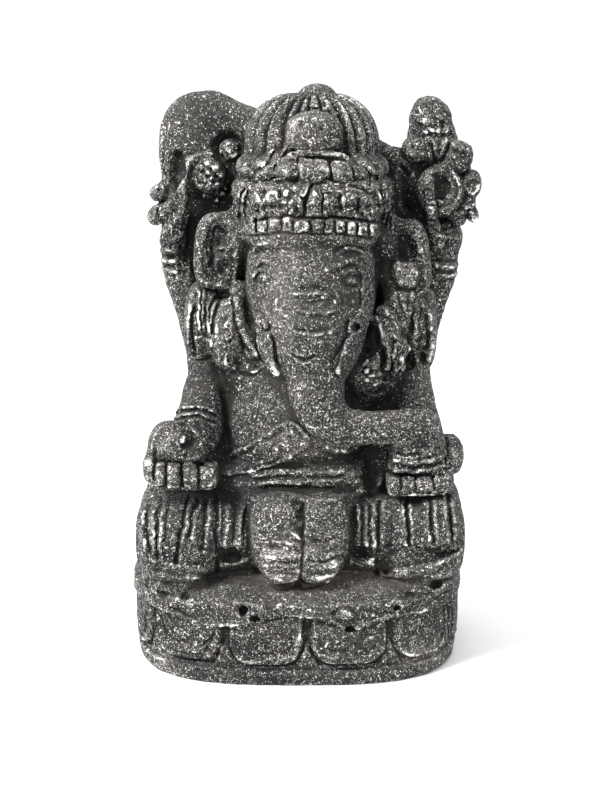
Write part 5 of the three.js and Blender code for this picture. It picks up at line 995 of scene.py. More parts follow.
def held(r):
    k = 5.13; P = panel(140, 85, k)
    L = lambda pts, w, a, **q: r.line(P(*pts), w / k, a, **q)
    E = lambda x, y, rx, ry, a, **q: r.ell(140 + x / k, 85 + y / k, rx / k, ry / k, a, **q)
    G = lambda pts, a, soft=14, dome=0.0, **q: r.poly(P(*pts), a, soft / k, dome, **q)
    # ball in its recess
    L([(440, 300), (480, 290), (505, 330)], 8, 0.9); E(470, 290, 16, 12, -1.0); L([(450, 330), (480, 370), (500, 350)], 9, 1.0); E(425, 350, 10, 26, -1.4)
    for pts in ([(430, 385), (480, 370), (520, 350)], [(440, 400), (470, 450)], [(500, 370), (505, 430)], [(520, 400), (470, 470)]): L(pts, 8, 1.3)
    E(470, 410, 12, 14, -1.2); E(495, 450, 12, 16, -1.2)
    # strip beside the hollow, its end
    L([(112, 270), (104, 340), (106, 420), (125, 490)], 9, 1.2); L([(128, 330), (120, 400), (135, 470)], 6, -1.0)
    # the closed hand: a round cluster
    for x, y, q, a in ((300, 420, 22, 1.8), (340, 400, 22, 1.2), (385, 420, 24, 1.8), (350, 450, 15, 1.5), (330, 490, 20, 1.3), (362, 480, 14, 1.6), (420, 460, 22, 1.6), (355, 520, 30, 1.6), (400, 515, 22, 1.7), (310, 460, 20, 1.0), (430, 520, 18, 1.6), (425, 560, 18, 1.4)): E(x, y, q, q * .85, a * 1.2)
    for x, y, q, a in ((325, 440, 11, -1.8), (365, 430, 11, -1.9), (345, 470, 11, -1.8), (385, 470, 16, -2.0), (340, 505, 14, -1.4), (410, 490, 11, -1.6), (300, 500, 12, -1.6), (375, 500, 10, -1.4)): E(x, y, q, q, a)
    L([(285, 500), (320, 535), (370, 545), (410, 535)], 9, 1.4); L([(300, 400), (330, 375), (380, 380)], 8, 1.0)
    for x, y, q in ((360, 570, 22), (395, 590, 22), (385, 620, 16), (440, 530, 16)): E(x, y, q, q * .7, 2.0)
    # the strap's worn crest and the sleeve below
    L([(225, 650), (222, 560), (215, 470), (245, 400), (300, 362), (380, 350)], 9, 1.0)
    L([(250, 640), (250, 560), (245, 480), (262, 430)], 8, -1.2)
    L([(120, 760), (180, 700), (215, 640)], 14, 1.0); L([(200, 760), (230, 700), (250, 650)], 10, -1.4); L([(140, 800), (190, 790), (215, 740)], 12, 0.9)
    # knob and lobe
    for x, y in ((85, 520), (115, 515), (75, 560), (105, 570), (125, 545)): E(x, y, 17, 17, 1.3)
    E(97, 545, 10, 10, -1.2); L([(70, 600), (110, 605), (140, 590)], 8, -1.8)
    L([(95, 620), (90, 660), (110, 700)], 7, -1.2); L([(130, 600), (150, 640), (160, 690)], 8, 0.9); L([(70, 640), (75, 690)], 8, 0.8)
    # rings of the left arm
    for y, a in ((850, 1.8), (875, -1.4), (900, 1.7), (925, -1.3), (950, 1.6), (975, -1.2)): L([(98, y - 4), (140, y + 4), (190, y + 8)], 10, a)
    for x in (110, 135, 160): E(x, 935, 9, 9, 1.0)
    L([(215, 800), (225, 900), (215, 990)], 22, -2.0)
    # right attribute
    k = 4.88; P = panel(385, 85, k)
    L = lambda pts, w, a, **q: r.line(P(*pts), w / k, a, **q)
    E = lambda x, y, rx, ry, a, **q: r.ell(385 + x / k, 85 + y / k, rx / k, ry / k, a, **q)
    G = lambda pts, a, soft=12, dome=0.0, **q: r.poly(P(*pts), a, soft / k, dome, **q)
    L([(150, 170), (200, 158), (250, 150), (300, 170)], 10, 1.3); L([(160, 195), (220, 200), (290, 190)], 14, -1.4)
    G([(200, 170), (240, 165), (290, 190), (280, 225), (215, 225)], 0.9, 8)
    for x in (215, 245, 275): L([(x, 180), (x, 250)], 5, -0.8)
    L([(190, 150), (195, 220), (205, 260)], 8, 0.9); L([(300, 150), (305, 210), (300, 250)], 8, 0.8)
    L([(130, 215), (180, 240), (225, 250), (290, 245), (330, 225)], 10, -1.6)
    L([(225, 260), (262, 360)], 6, 1.6); L([(305, 262), (268, 360)], 6, 1.6); L([(212, 280), (250, 375)], 7, -1.8); L([(320, 285), (280, 372)], 7, -1.8); E(265, 280, 20, 20, -1.0)
    # bosses
    for x, y, q, a in ((150, 285, 22, 1.2), (180, 300, 20, 1.2), (150, 330, 22, 1.4), (180, 340, 14, 1.0), (165, 310, 9, -1.6), (130, 300, 10, -1.4)): E(x, y, q, q, a)
    r.ring(385 + 158 / k, 85 + 308 / k, 46 / k, 42 / k, 9 / k, 1.0)
    for x, y, q, a in ((340, 280, 18, 1.3), (370, 300, 18, 1.3), (345, 320, 14, -1.8), (380, 340, 20, -1.8), (330, 350, 18, 1.4), (400, 330, 18, 1.4), (370, 385, 26, 1.8), (410, 370, 16, 1.2), (345, 385, 16, 1.0), (420, 300, 14, 1.0), (395, 285, 12, .9)): E(x, y, q, q, a)
    r.ring(385 + 425 / k, 85 + 490 / k, 34 / k, 44 / k, 9 / k, 1.4); E(425, 490, 16, 22, -1.2); E(415, 510, 12, 12, 1.0)
    L([(400, 450), (410, 490), (405, 530)], 7, -1.0)
    for x, y, q in ((400, 590, 18), (420, 620, 18), (385, 620, 14), (435, 580, 14)): E(x, y, q, q * .8, 1.4)
    E(405, 605, 9, 9, -1.6); L([(370, 600), (360, 640), (300, 660)], 8, 1.2)
    # wing leaf at the left
    L([(10, 360), (60, 360), (110, 390)], 10, 1.4); L([(30, 385), (80, 400), (120, 440)], 8, -1.4); L([(40, 370), (90, 430), (100, 460)], 8, 1.0); L([(0, 400), (30, 450), (20, 500)], 12, -1.4)
    # ring, crescent and beaded rod
    L([(150, 430), (200, 395), (270, 388), (330, 420), (370, 490), (365, 560), (320, 620), (270, 645)], 8, 1.2)
    L([(110, 470), (150, 420), (200, 392)], 8, 0.9); L([(100, 500), (98, 570), (120, 620)], 12, -1.5)
    E(300, 480, 24, 40, -1.2); E(300, 545, 34, 22, 1.4); E(270, 570, 20, 16, 1.2); E(330, 560, 16, 14, .9)
    for y in range(470, 700, 26):
        x = 213 + (y - 460) * 0.09; E(x, y, 22 if y < 500 else 18, 12, 1.4); L([(x - 18, y + 13), (x + 18, y + 13)], 4, -1.2)
    # arm below: folds of the sleeve, rings and pearls
    L([(240, 700), (290, 680), (350, 660)], 10, 1.2); L([(245, 740), (300, 720), (350, 690)], 9, 0.9); L([(250, 720), (310, 700)], 8, -1.0)
    for pts in ([(260, 780), (300, 800), (340, 790)], [(280, 740), (330, 750), (360, 740)]): L(pts, 10, 0.9)
    for y, a in ((855, -1.2), (880, 1.8), (905, -1.4), (925, 1.8), (950, -1.2)): L([(235, y), (290, y + 6), (355, y - 4)], 9, a)
    for x, y in ((250, 890), (275, 895), (300, 893), (325, 890), (262, 930), (290, 935), (320, 932)): E(x, y, 11, 10, 0.9)
    L([(225, 860), (215, 930), (218, 1000)], 12, -1.8)

def hands(r):
    k = 4.612; P = panel(130, 390, k)
    L = lambda pts, w, a, **q: r.line(P(*pts), w / k, a, **q)
    E = lambda x, y, rx, ry, a, **q: r.ell(130 + x / k, 390 + y / k, rx / k, ry / k, a, **q)
    G = lambda pts, a, soft=12, dome=0.0, **q: r.poly(P(*pts), a, soft / k, dome, **q)
    # bracelets of the lowered arms
    for d, a in ((0, 1.6), (16, -1.2), (30, 1.5), (46, -1.1), (60, 1.2)): L([(190, 108 + d), (250, 80 + d), (320, 76 + d), (400, 104 + d)], 9, a)
    for d, a in ((0, 1.2), (14, -1.0), (28, 1.1)): L([(1310, 60 + d), (1360, 66 + d), (1412, 82 + d)], 8, a)
    # back of the hand, the sweet in the palm, the fingers
    k = 4.333; P = panel(130, 400, k)
    L = lambda pts, w, a, **q: r.line(P(*pts), w / k, a, **q)
    E = lambda x, y, rx, ry, a, **q: r.ell(130 + x / k, 400 + y / k, rx / k, ry / k, a, **q)
    G = lambda pts, a, soft=12, dome=0.0, **q: r.poly(P(*pts), a, soft / k, dome, **q)
    L([(160, 150), (120, 200), (100, 270)], 8, -1.3); L([(150, 110), (105, 160), (85, 230)], 9, 0.9); L([(180, 160), (150, 220)], 8, 0.7)
    for x, y, q, a in ((245, 160, 18, 1.4), (290, 200, 16, 1.2), (225, 200, 12, -1.6), (262, 215, 22, 1.4), (240, 240, 12, -1.2), (300, 235, 14, -1.2), (235, 180, 10, .8), (270, 175, 11, -1.4)): E(x, y, q, q, a)
    L([(310, 90), (320, 170), (330, 240), (395, 270)], 9, 0.8); L([(240, 105), (290, 150), (315, 220)], 7, 0.9)
    for x in (158, 226, 294): L([(x, 272), (x + 1, 330), (x, 384)], 6, -2.4)
    L([(108, 262), (106, 300), (112, 350)], 6, -2.0); L([(90, 262), (150, 262), (225, 266), (300, 278), (370, 284)], 8, -1.6)
    for x in (130, 192, 258, 335): L([(x - 24, 282), (x, 272), (x + 24, 284)], 6, 0.9); L([(x - 22, 372), (x, 382), (x + 22, 370)], 6, 0.7); E(x, 330, 20, 34, 0.8)
    L([(80, 380), (150, 398), (260, 402), (380, 385)], 11, -1.6); L([(385, 270), (380, 320), (388, 370)], 10, -1.4)
    # the bowl
    k = 6.24; P = panel(355, 400, k)
    L = lambda pts, w, a, **q: r.line(P(*pts), w / k, a, **q)
    E = lambda x, y, rx, ry, a, **q: r.ell(355 + x / k, 400 + y / k, rx / k, ry / k, a, **q)
    G = lambda pts, a, soft=12, dome=0.0, **q: r.poly(P(*pts), a, soft / k, dome, **q)
    G([(250, 262), (320, 250), (390, 262), (380, 305), (320, 318), (262, 300)], 1.0, 14, 0.6)
    L([(240, 320), (300, 335), (400, 330)], 10, -1.4); L([(250, 345), (330, 360), (400, 352), (480, 340)], 9, 1.2); L([(400, 300), (470, 290), (530, 300)], 9, -1.2)
    L([(232, 378), (330, 388), (440, 382), (530, 352), (560, 330)], 12, 1.9); L([(240, 410), (340, 420), (450, 410), (540, 385)], 11, -1.5)
    L([(240, 438), (340, 445), (440, 440), (540, 412), (620, 425)], 9, 1.3); L([(210, 462), (330, 466), (480, 462)], 9, -2.0)
    L([(540, 440), (600, 438), (650, 430)], 8, 1.0); L([(560, 200), (575, 300), (560, 400)], 9, -1.4); L([(575, 195), (630, 230), (665, 300), (668, 380)], 8, 0.8)
    L([(430, 60), (500, 110), (550, 180)], 8, -0.8)
    for x in (200, 290, 382, 490): L([(x, 475), (x - 2, 520), (x, 565)], 7, -2.2)
    for x in (245, 336, 432): L([(x - 30, 492), (x, 478), (x + 30, 490)], 8, 1.0); L([(x - 30, 556), (x, 562), (x + 30, 552)], 7, 0.8); E(x, 520, 30, 26, .5)
    L([(505, 480), (520, 455), (570, 455), (600, 490)], 8, 1.2); L([(602, 470), (608, 520), (600, 580)], 8, -1.6); L([(200, 575), (350, 582), (480, 572)], 9, -1.8); L([(300, 590), (420, 596)], 6, 0.8)
    L([(180, 320), (195, 420), (170, 540)], 12, 1.4); L([(225, 300), (222, 380), (218, 450)], 7, -1.4)
    for d_, a in ((0, 1.2), (14, -1.0), (28, 1.1)): L([(430, 10 + d_), (480, 18 + d_), (520, 36 + d_)], 8, a)

def lap(r):
    k = 4.612; P = panel(130, 390, k)
    L = lambda pts, w, a, **q: r.line(P(*pts), w / k, a, **q)
    E = lambda x, y, rx, ry, a, **q: r.ell(130 + x / k, 390 + y / k, rx / k, ry / k, a, **q)
    G = lambda pts, a, soft=12, dome=0.0, **q: r.poly(P(*pts), a, soft / k, dome, **q)
    # sash across the belly, with a running scroll
    G([(430, 310), (560, 245), (650, 185), (735, 135), (790, 180), (838, 250), (700, 335), (560, 375), (430, 395)], 2.4, 12, 0.8)
    L([(440, 305), (560, 245), (650, 188), (735, 140)], 8, 1.0); L([(430, 392), (560, 372), (700, 332), (832, 252)], 8, 0.9)
    L([(470, 315), (565, 268), (660, 212), (740, 165)], 6, -0.8); L([(460, 378), (570, 356), (690, 316), (800, 258)], 6, -0.8)
    for i in range(7):
        t = i / 6; x, y = 490 + 250 * t, 342 - 130 * t
        r.ring(130 + x / k, 390 + y / k, 17 / k, 15 / k, 8 / k, 1.1); E(x + 18, y + 14, 10, 8, 0.8); E(x, y, 6, 6, -0.9)
    L([(735, 140), (775, 175), (838, 250)], 8, 1.0)
    # tongue-like end and the cord that goes on to the right
    G([(780, 150), (830, 160), (900, 205), (870, 240), (820, 235), (790, 200)], 1.4, 10, 0.5)
    G([(832, 250), (870, 236), (980, 262), (1000, 285), (920, 290), (840, 268)], 1.2, 9, 0.3)
    for i in range(6): L([(850 + i * 24, 240 + i * 4), (842 + i * 25, 274 + i * 3)], 5, -0.8)
    L([(830, 262), (960, 300), (1060, 285), (1150, 235)], 12, -1.6)
    L([(700, 370), (820, 330), (1000, 330), (1060, 300)], 16, -0.8)
    # folds over the lap
    for pts, w, a in (([(560, 392), (700, 376), (850, 372), (1000, 376)], 11, 1.6), ([(560, 412), (720, 400), (900, 404), (1060, 400)], 9, -1.6), ([(590, 436), (700, 428), (820, 430)], 11, 1.6), ([(600, 462), (720, 452), (860, 470), (1060, 452)], 20, -2.2), ([(860, 416), (980, 410), (1080, 380)], 9, 1.0),
                      ([(420, 420), (500, 400), (570, 410)], 20, -1.6), ([(560, 486), (700, 494), (860, 500), (1000, 490), (1080, 470)], 12, 0.9)): L(pts, w, a)
    E(1130, 330, 50, 110, -2.6); E(1100, 400, 50, 60, -2.2)
    L([(1150, 300), (1165, 380), (1120, 470)], 12, 1.0)
    # edge of the body beside the arm
    L([(432, 0), (440, 100), (452, 200), (470, 250)], 12, -1.6)

def knees(r):
    k = 4.333; P = panel(130, 480, k)
    L = lambda pts, w, a, **q: r.line(P(*pts), w / k, a, **q)
    E = lambda x, y, rx, ry, a, **q: r.ell(130 + x / k, 480 + y / k, rx / k, ry / k, a, **q)
    G = lambda pts, a, soft=12, dome=0.0, **q: r.poly(P(*pts), a, soft / k, dome, **q)
    for pts, w, a in (([(92, 78), (76, 150), (72, 220), (90, 310)], 7, -2.0), ([(70, 80), (52, 160), (50, 240), (66, 310)], 7, 1.1), ([(112, 90), (98, 170), (98, 250), (108, 320)], 8, 1.0),
                      ([(134, 88), (118, 180), (114, 260), (124, 335)], 7, -2.0), ([(153, 86), (136, 180), (130, 270), (140, 345)], 8, 1.4), ([(172, 88), (156, 180), (150, 260)], 6, -1.2),
                      ([(252, 78), (230, 170), (214, 260), (196, 355)], 8, -2.3), ([(270, 80), (246, 175), (232, 260), (212, 368)], 8, 1.5), ([(288, 82), (266, 170), (256, 240)], 6, -1.6),
                      ([(307, 82), (284, 175), (270, 260)], 8, 1.1), ([(330, 88), (318, 190), (308, 300)], 7, -1.8), ([(348, 88), (338, 200), (328, 330)], 9, 1.0),
                      ([(376, 72), (375, 200), (373, 390)], 9, -3.0), ([(404, 105), (400, 200), (394, 296)], 7, -1.7), ([(428, 105), (422, 200), (415, 295)], 8, 1.6), ([(455, 108), (448, 200), (442, 300)], 8, -1.6),
                      ([(484, 115), (477, 220), (470, 330)], 8, 1.6), ([(500, 100), (495, 200), (490, 300)], 5, -1.2), ([(518, 95), (512, 200), (508, 330)], 8, -1.8), ([(190, 110), (184, 200), (178, 300)], 20, 0.6)): L(pts, w, a, taper=False)
    E(282, 332, 34, 36, 1.5); L([(258, 350), (282, 362), (306, 350)], 7, -1.0); E(280, 326, 14, 14, -0.8)
    G([(385, 300), (430, 292), (480, 305), (486, 345), (430, 360), (385, 350)], -3.2, 14)
    L([(150, 360), (205, 376), (260, 384), (340, 388), (372, 386)], 10, 1.2); L([(90, 350), (120, 350), (150, 362)], 8, 1.0); L([(110, 392), (200, 404), (330, 408)], 12, -1.8)
    L([(390, 376), (440, 368), (500, 352)], 12, 0.5); L([(120, 60), (240, 52), (360, 56)], 8, -1.2); L([(250, 58), (320, 50), (390, 56)], 8, 1.0)
    k = 5.2; P = panel(325, 480, k)
    L = lambda pts, w, a, **q: r.line(P(*pts), w / k, a, **q)
    E = lambda x, y, rx, ry, a, **q: r.ell(325 + x / k, 480 + y / k, rx / k, ry / k, a, **q)
    G = lambda pts, a, soft=12, dome=0.0, **q: r.poly(P(*pts), a, soft / k, dome, **q)
    for pts, w, a in (([(284, 110), (280, 250), (274, 360), (270, 490)], 9, -3.0), ([(308, 115), (304, 230), (300, 340)], 12, 0.9), ([(424, 88), (428, 200), (438, 338)], 9, -2.5), ([(404, 92), (408, 200), (416, 335)], 9, 1.2), ([(446, 100), (450, 210), (458, 330)], 9, 1.1),
                      ([(546, 98), (556, 220), (568, 332)], 9, -2.5), ([(526, 100), (534, 210), (544, 330)], 9, 1.0), ([(570, 110), (580, 220), (592, 325)], 9, 1.3), ([(640, 68), (648, 200), (656, 330)], 9, -2.7), ([(620, 80), (628, 190), (638, 320)], 9, 1.2), ([(662, 80), (672, 190), (680, 300)], 8, 1.0),
                      ([(692, 55), (715, 120), (722, 200), (706, 290)], 9, -2.0), ([(500, 115), (500, 220), (498, 330)], 7, -1.0), ([(350, 130), (350, 220), (345, 335)], 7, -0.8), ([(372, 120), (374, 220), (376, 330)], 22, 0.6),
                      ([(148, 140), (150, 240), (152, 345)], 8, -1.7), ([(172, 140), (174, 240), (176, 340)], 8, 1.3), ([(194, 140), (196, 240), (198, 340)], 7, -1.5), ([(214, 135), (217, 240), (218, 340)], 8, 1.2), ([(235, 135), (238, 240), (240, 340)], 7, -1.5), ([(256, 120), (258, 240), (258, 370)], 9, 1.3)): L(pts, w, a, taper=False)
    G([(292, 345), (430, 342), (570, 345), (690, 300), (700, 360), (560, 425), (430, 455), (292, 472)], -2.6, 18)
    G([(150, 352), (200, 345), (262, 352), (265, 395), (210, 405), (150, 395)], -3.4, 14)
    E(220, 440, 50, 26, 1.4); L([(280, 492), (350, 500), (430, 484), (520, 470), (600, 430), (700, 370)], 11, 1.6); L([(300, 360), (400, 352), (470, 360)], 8, 0.9); L([(560, 340), (620, 325), (680, 305)], 9, 1.0)
    for x, y, q in ((620, 350, 20), (650, 330, 16), (590, 365, 16), (520, 435, 14)): E(x, y, q, q * .8, 1.0)
    L([(270, 520), (400, 520), (520, 500), (620, 450)], 12, -1.2)

def feet(r):
    k = 6.78; P = panel(240, 485, k)
    L = lambda pts, w, a, **q: r.line(P(*pts), w / k, a, **q)
    E = lambda x, y, rx, ry, a, **q: r.ell(240 + x / k, 485 + y / k, rx / k, ry / k, a, **q)
    G = lambda pts, a, soft=12, dome=0.0, **q: r.poly(P(*pts), a, soft / k, dome, **q)
    L([(432, 130), (430, 300), (432, 420), (420, 560), (405, 660)], 11, -1.9, taper=False)
    G([(385, 190), (425, 150), (432, 240), (428, 355), (385, 325), (342, 275), (360, 250)], -1.5, 14)
    L([(66, 250), (62, 400), (80, 530)], 12, -1.3); L([(748, 180), (752, 300), (748, 440), (700, 540)], 12, -1.3)
    L([(95, 545), (180, 640), (280, 705), (395, 668), (440, 705), (560, 660), (660, 590), (740, 500)], 11, -1.8)
    for pts, w, a in (([(190, 415), (290, 432), (410, 450)], 11, -1.5), ([(270, 392), (330, 385), (400, 410)], 13, 1.5), ([(150, 480), (280, 488), (400, 480)], 14, 0.8), ([(200, 520), (300, 522), (402, 526)], 9, -1.6), ([(130, 545), (260, 548), (395, 550)], 12, 0.7),
                      ([(190, 592), (300, 598), (400, 596)], 8, -1.2), ([(250, 640), (320, 650), (390, 630)], 12, 1.0), ([(330, 325), (370, 340), (412, 372)], 10, 1.0), ([(100, 300), (200, 268), (320, 262)], 16, 0.7),
                      ([(450, 355), (550, 382), (660, 350)], 10, -1.4), ([(520, 170), (560, 180), (580, 250)], 14, 0.9), ([(460, 430), (560, 440), (640, 425)], 12, 0.8), ([(600, 480), (660, 455), (740, 470)], 14, 1.6), ([(455, 505), (560, 520), (640, 490)], 9, -1.8),
                      ([(480, 575), (560, 560), (640, 545), (720, 520)], 12, 1.0), ([(460, 600), (560, 605), (650, 575)], 9, -1.4), ([(450, 650), (540, 640), (620, 600)], 12, 0.9), ([(460, 240), (540, 235), (640, 225)], 10, -0.7)): L(pts, w, a)
    for x, y in ((215, 430), (300, 405), (345, 425), (610, 475), (640, 500), (575, 385), (700, 455), (250, 345)): E(x, y, 10, 9, -1.2)

def seat(r):
    k = 4.612; P = panel(130, 560, k)
    L = lambda pts, w, a, **q: r.line(P(*pts), w / k, a, **q)
    E = lambda x, y, rx, ry, a, **q: r.ell(130 + x / k, 560 + y / k, rx / k, ry / k, a, **q)
    G = lambda pts, a, soft=12, dome=0.0, **q: r.poly(P(*pts), a, soft / k, dome, **q)
    # rough lumps and pits along the lip
    for x, y, rx, ry, a in ((205, 190, 44, 30, 2.0), (260, 165, 30, 18, -1.6), (520, 200, 50, 22, 2.2), (520, 235, 22, 30, -2.6), (595, 235, 38, 34, 2.4), (578, 272, 26, 18, -2.4), (470, 180, 40, 20, 1.0), (540, 300, 46, 14, 1.4), (990, 250, 44, 30, 2.2), (1010, 320, 30, 16, -2.0), (945, 240, 22, 24, -1.6), (1225, 205, 60, 36, 2.2), (1228, 222, 18, 16, -2.6), (1300, 210, 40, 26, 1.4), (1280, 160, 40, 18, -1.6),
                            (640, 250, 26, 24, 1.2), (1150, 220, 30, 22, 1.4), (100, 105, 36, 26, -1.6), (60, 80, 26, 16, 1.2), (330, 205, 44, 26, 1.4), (400, 250, 40, 24, 1.2), (1400, 110, 40, 22, -2.2), (1090, 285, 34, 20, 1.2), (730, 205, 60, 16, 0.9), (1420, 150, 34, 22, 1.2), (1480, 90, 20, 26, 1.0)): E(x, y, rx, ry, a)
    L([(60, 70), (130, 110), (200, 150), (300, 180)], 11, 1.0); L([(80, 100), (150, 150), (190, 210), (270, 260), (330, 290)], 12, -1.4)
    L([(50, 130), (110, 200), (180, 240), (260, 270), (360, 300), (440, 300), (560, 315)], 8, 1.0)
    L([(640, 300), (740, 270), (830, 268), (920, 280), (990, 330)], 9, 1.2); L([(690, 220), (750, 205), (790, 215)], 6, -1.0)
    L([(1040, 320), (1120, 280), (1200, 260), (1300, 250), (1400, 200), (1500, 120)], 9, 1.0); L([(1380, 130), (1440, 90), (1480, 60)], 14, -1.4); L([(1420, 190), (1490, 130), (1520, 60)], 9, 0.9)
    # face of the petals: borders, worn horizontal strokes, star, small leaves
    L([(410, 340), (420, 400), (460, 455), (600, 470), (740, 450), (775, 400), (780, 340)], 9, 1.1); L([(440, 350), (450, 400), (490, 435), (700, 430), (745, 390), (752, 340)], 8, -0.8)
    L([(835, 345), (840, 400), (900, 450), (1060, 452), (1150, 430), (1180, 370), (1175, 320)], 9, 1.1); L([(865, 350), (880, 395), (1000, 425), (1110, 415), (1145, 365)], 8, -0.8)
    for y in (365, 388, 410): L([(890, y), (1000, y + 3), (1110, y - 4)], 5, -0.6)
    L([(430, 405), (520, 412), (660, 404)], 5, -0.6)
    L([(110, 200), (140, 330), (210, 400), (300, 420), (360, 380)], 9, 1.0); L([(140, 240), (170, 330), (230, 375), (310, 385)], 8, -0.8)
    for pts in ([(350, 410), (385, 340)], [(330, 400), (372, 345)]): L(pts, 6, -1.6)
    for x, y in ((375, 455), (345, 440), (410, 460), (1200, 440), (1175, 455), (800, 440), (770, 460)): E(x, y, 20, 18, 1.3)
    L([(220, 440), (290, 460), (340, 450)], 10, -1.4); L([(792, 345), (805, 420), (795, 470)], 9, 1.0); L([(830, 400), (845, 450)], 9, -1.2)
    for a in range(8): L([(1300 + 12 * math.cos(a * .785), 350 + 12 * math.sin(a * .785)), (1300 + 46 * math.cos(a * .785), 350 + 46 * math.sin(a * .785))], 5, 0.9)
    L([(1200, 330), (1220, 400), (1290, 440), (1380, 410), (1420, 330)], 8, 1.0)
    for x in (1440, 1458, 1476): L([(x, 200), (x + 6, 270), (x - 4, 350), (x - 30, 410)], 5, -1.3)
    for x in (60, 80): L([(x, 230), (x - 10, 300), (x + 10, 370)], 5, -1.1)
    # seam over the foot rim
    L([(300, 500), (500, 512), (760, 516), (1000, 512), (1250, 498)], 8, -1.2)
    # unevenness of the top
    for x, y, rx, ry, a in ((450, 130, 60, 30, 0.8), (700, 150, 80, 30, 0.7), (300, 100, 70, 30, 0.7), (1050, 150, 70, 30, 0.8), (1200, 100, 60, 26, 0.8), (860, 190, 60, 22, 0.7), (150, 60, 50, 22, 0.6), (560, 80, 40, 20, -.8), (960, 90, 40, 20, -.7)): E(x, y, rx, ry, a)

# ---------------------------------------------------------------- mesh
GRID = 0.95         # mm between samples of the clay
TRIANGLES = 198500

def blur(a, r, times=2):
    """Box blur of half width r samples, repeated."""
    for _ in range(times):
        for ax in range(3):
            p = [(0, 0)] * 3; p[ax] = (r + 1, r)
            c = np.cumsum(np.pad(a, p, mode='edge'), axis=ax, dtype=np.float32)
            n = a.shape[ax]
            hi = [slice(None)] * 3; lo = [slice(None)] * 3
            hi[ax] = slice(2 * r + 1, 2 * r + 1 + n); lo[ax] = slice(0, n)
            a = (c[tuple(hi)] - c[tuple(lo)]) / np.float32(2 * r + 1)
    return a

def trilinear(g, lo, h, P):
    q = (P - lo) / h
    i = np.clip(np.floor(q).astype(int), 0, np.array(g.shape) - 2); t = np.clip(q - i, 0, 1)
    out = 0
    for dx in (0, 1):
        for dy in (0, 1):
            for dz in (0, 1):
                w = (t[:, 0] if dx else 1 - t[:, 0]) * (t[:, 1] if dy else 1 - t[:, 1]) * (t[:, 2] if dz else 1 - t[:, 2])
                out = out + w * g[i[:, 0] + dx, i[:, 1] + dy, i[:, 2] + dz]
    return out

def fill_share(c):
    """How much of the space round a point is stone, at several sizes: 0.5 on a flat face, less on a ridge, more in a hollow."""
    solid = np.clip(0.5 - c.d / (2 * c.h), 0, 1).astype(np.float32)
    maps = {}
    maps['fine'] = (blur(solid, 1), c.lo, c.h)
    maps['mid'] = (blur(solid, 3), c.lo, c.h)
    n = np.array(solid.shape) // 3 * 3
    low = solid[:n[0], :n[1], :n[2]].reshape(n[0] // 3, 3, n[1] // 3, 3, n[2] // 3, 3).mean((1, 3, 5))
    maps['wide'] = (blur(low, 3), c.lo + c.h, c.h * 3)
    maps['deep'] = (blur(low, 8), c.lo + c.h, c.h * 3)
    return maps

# Soot and painted shade (+), dust and painted light (-), as broad soft dabs on the stone: where, how far away, half
# widths, how strong.
DABS = [
    (200, 100, 22, 34, 18, .5), (206, 208, 14, 18, 22, .9), (196, 236, 18, 10, 26, .9), (198, 172, 10, 12, 14, .7), (212, 118, 14, 26, 16, .3), (203, 438, -40, 12, 40, .8), (199, 398, -8, 20, 44, .9), (207, 458, -36, 18, 20, .5),
    (238, 477, -34, 46, 13, .85), (240, 500, -50, 40, 12, .4), (322, 500, -55, 30, 11, .35), (331, 285, -52, 30, 44, .45), (333, 375, -58, 18, 56, .45),
    (348, 322, -46, 20, 36, .35), (404, 222, 12, 12, 34, .6), (414, 213, 10, 9, 24, .9), (408, 372, -12, 16, 20, .3), (300, 677, -88, 130, 9, .6), (428, 615, -66, 30, 12, .4), (200, 613, -84, 34, 10, .35),
    (270, 505, -52, 60, 14, .45), (222, 540, -70, 14, 20, .5), (300, 560, -84, 34, 10, .25), (404, 525, -80, 24, 30, .3),  (460, 212, 12, 14, 18, .3),
    (281, 300, -56, 17, 80, -.5), (283, 226, -50, 22, 30, -.3), (322, 160, -46, 34, 16, -.35), (280, 548, -76, 26, 30, -.8), (330, 540, -76, 20, 26, -.3), (407, 275, -20, 12, 12, -.5), (448, 270, 14, 12, 10, -.5), (402, 322, -14, 14, 24, -.35), (431, 328, -4, 7, 24, -.5), (163, 446, -60, 10, 16, -.5), (300, 577, -74, 160, 10, -.8), (345, 577, -60, 60, 10, -.6),
    (322, 449, -62, 52, 13, -.8), (352, 457, -62, 32, 9, -.5), (302, 138, -44, 22, 16, -.5), (420, 380, -10, 10, 14, -.6), (180, 678, -80, 20, 8, -.8), (410, 655, -76, 22, 12, -.5), (381, 482, -46, 14, 26, -.5), (162, 655, -62, 30, 14, -.4), (436, 655, -62, 30, 14, -.45), (228, 320, -12, 20, 30, -.3),
]

def dabs(P):
    out = np.zeros(len(P))
    for u, v, y, ru, rv, a in DABS:
        q = (P - VIEW.at(u, v, y)) / (0.69 * ru, 20.0, 0.69 * rv)
        out += a * np.exp(-(q * q).sum(1))
    return np.clip(out, -1, 1)

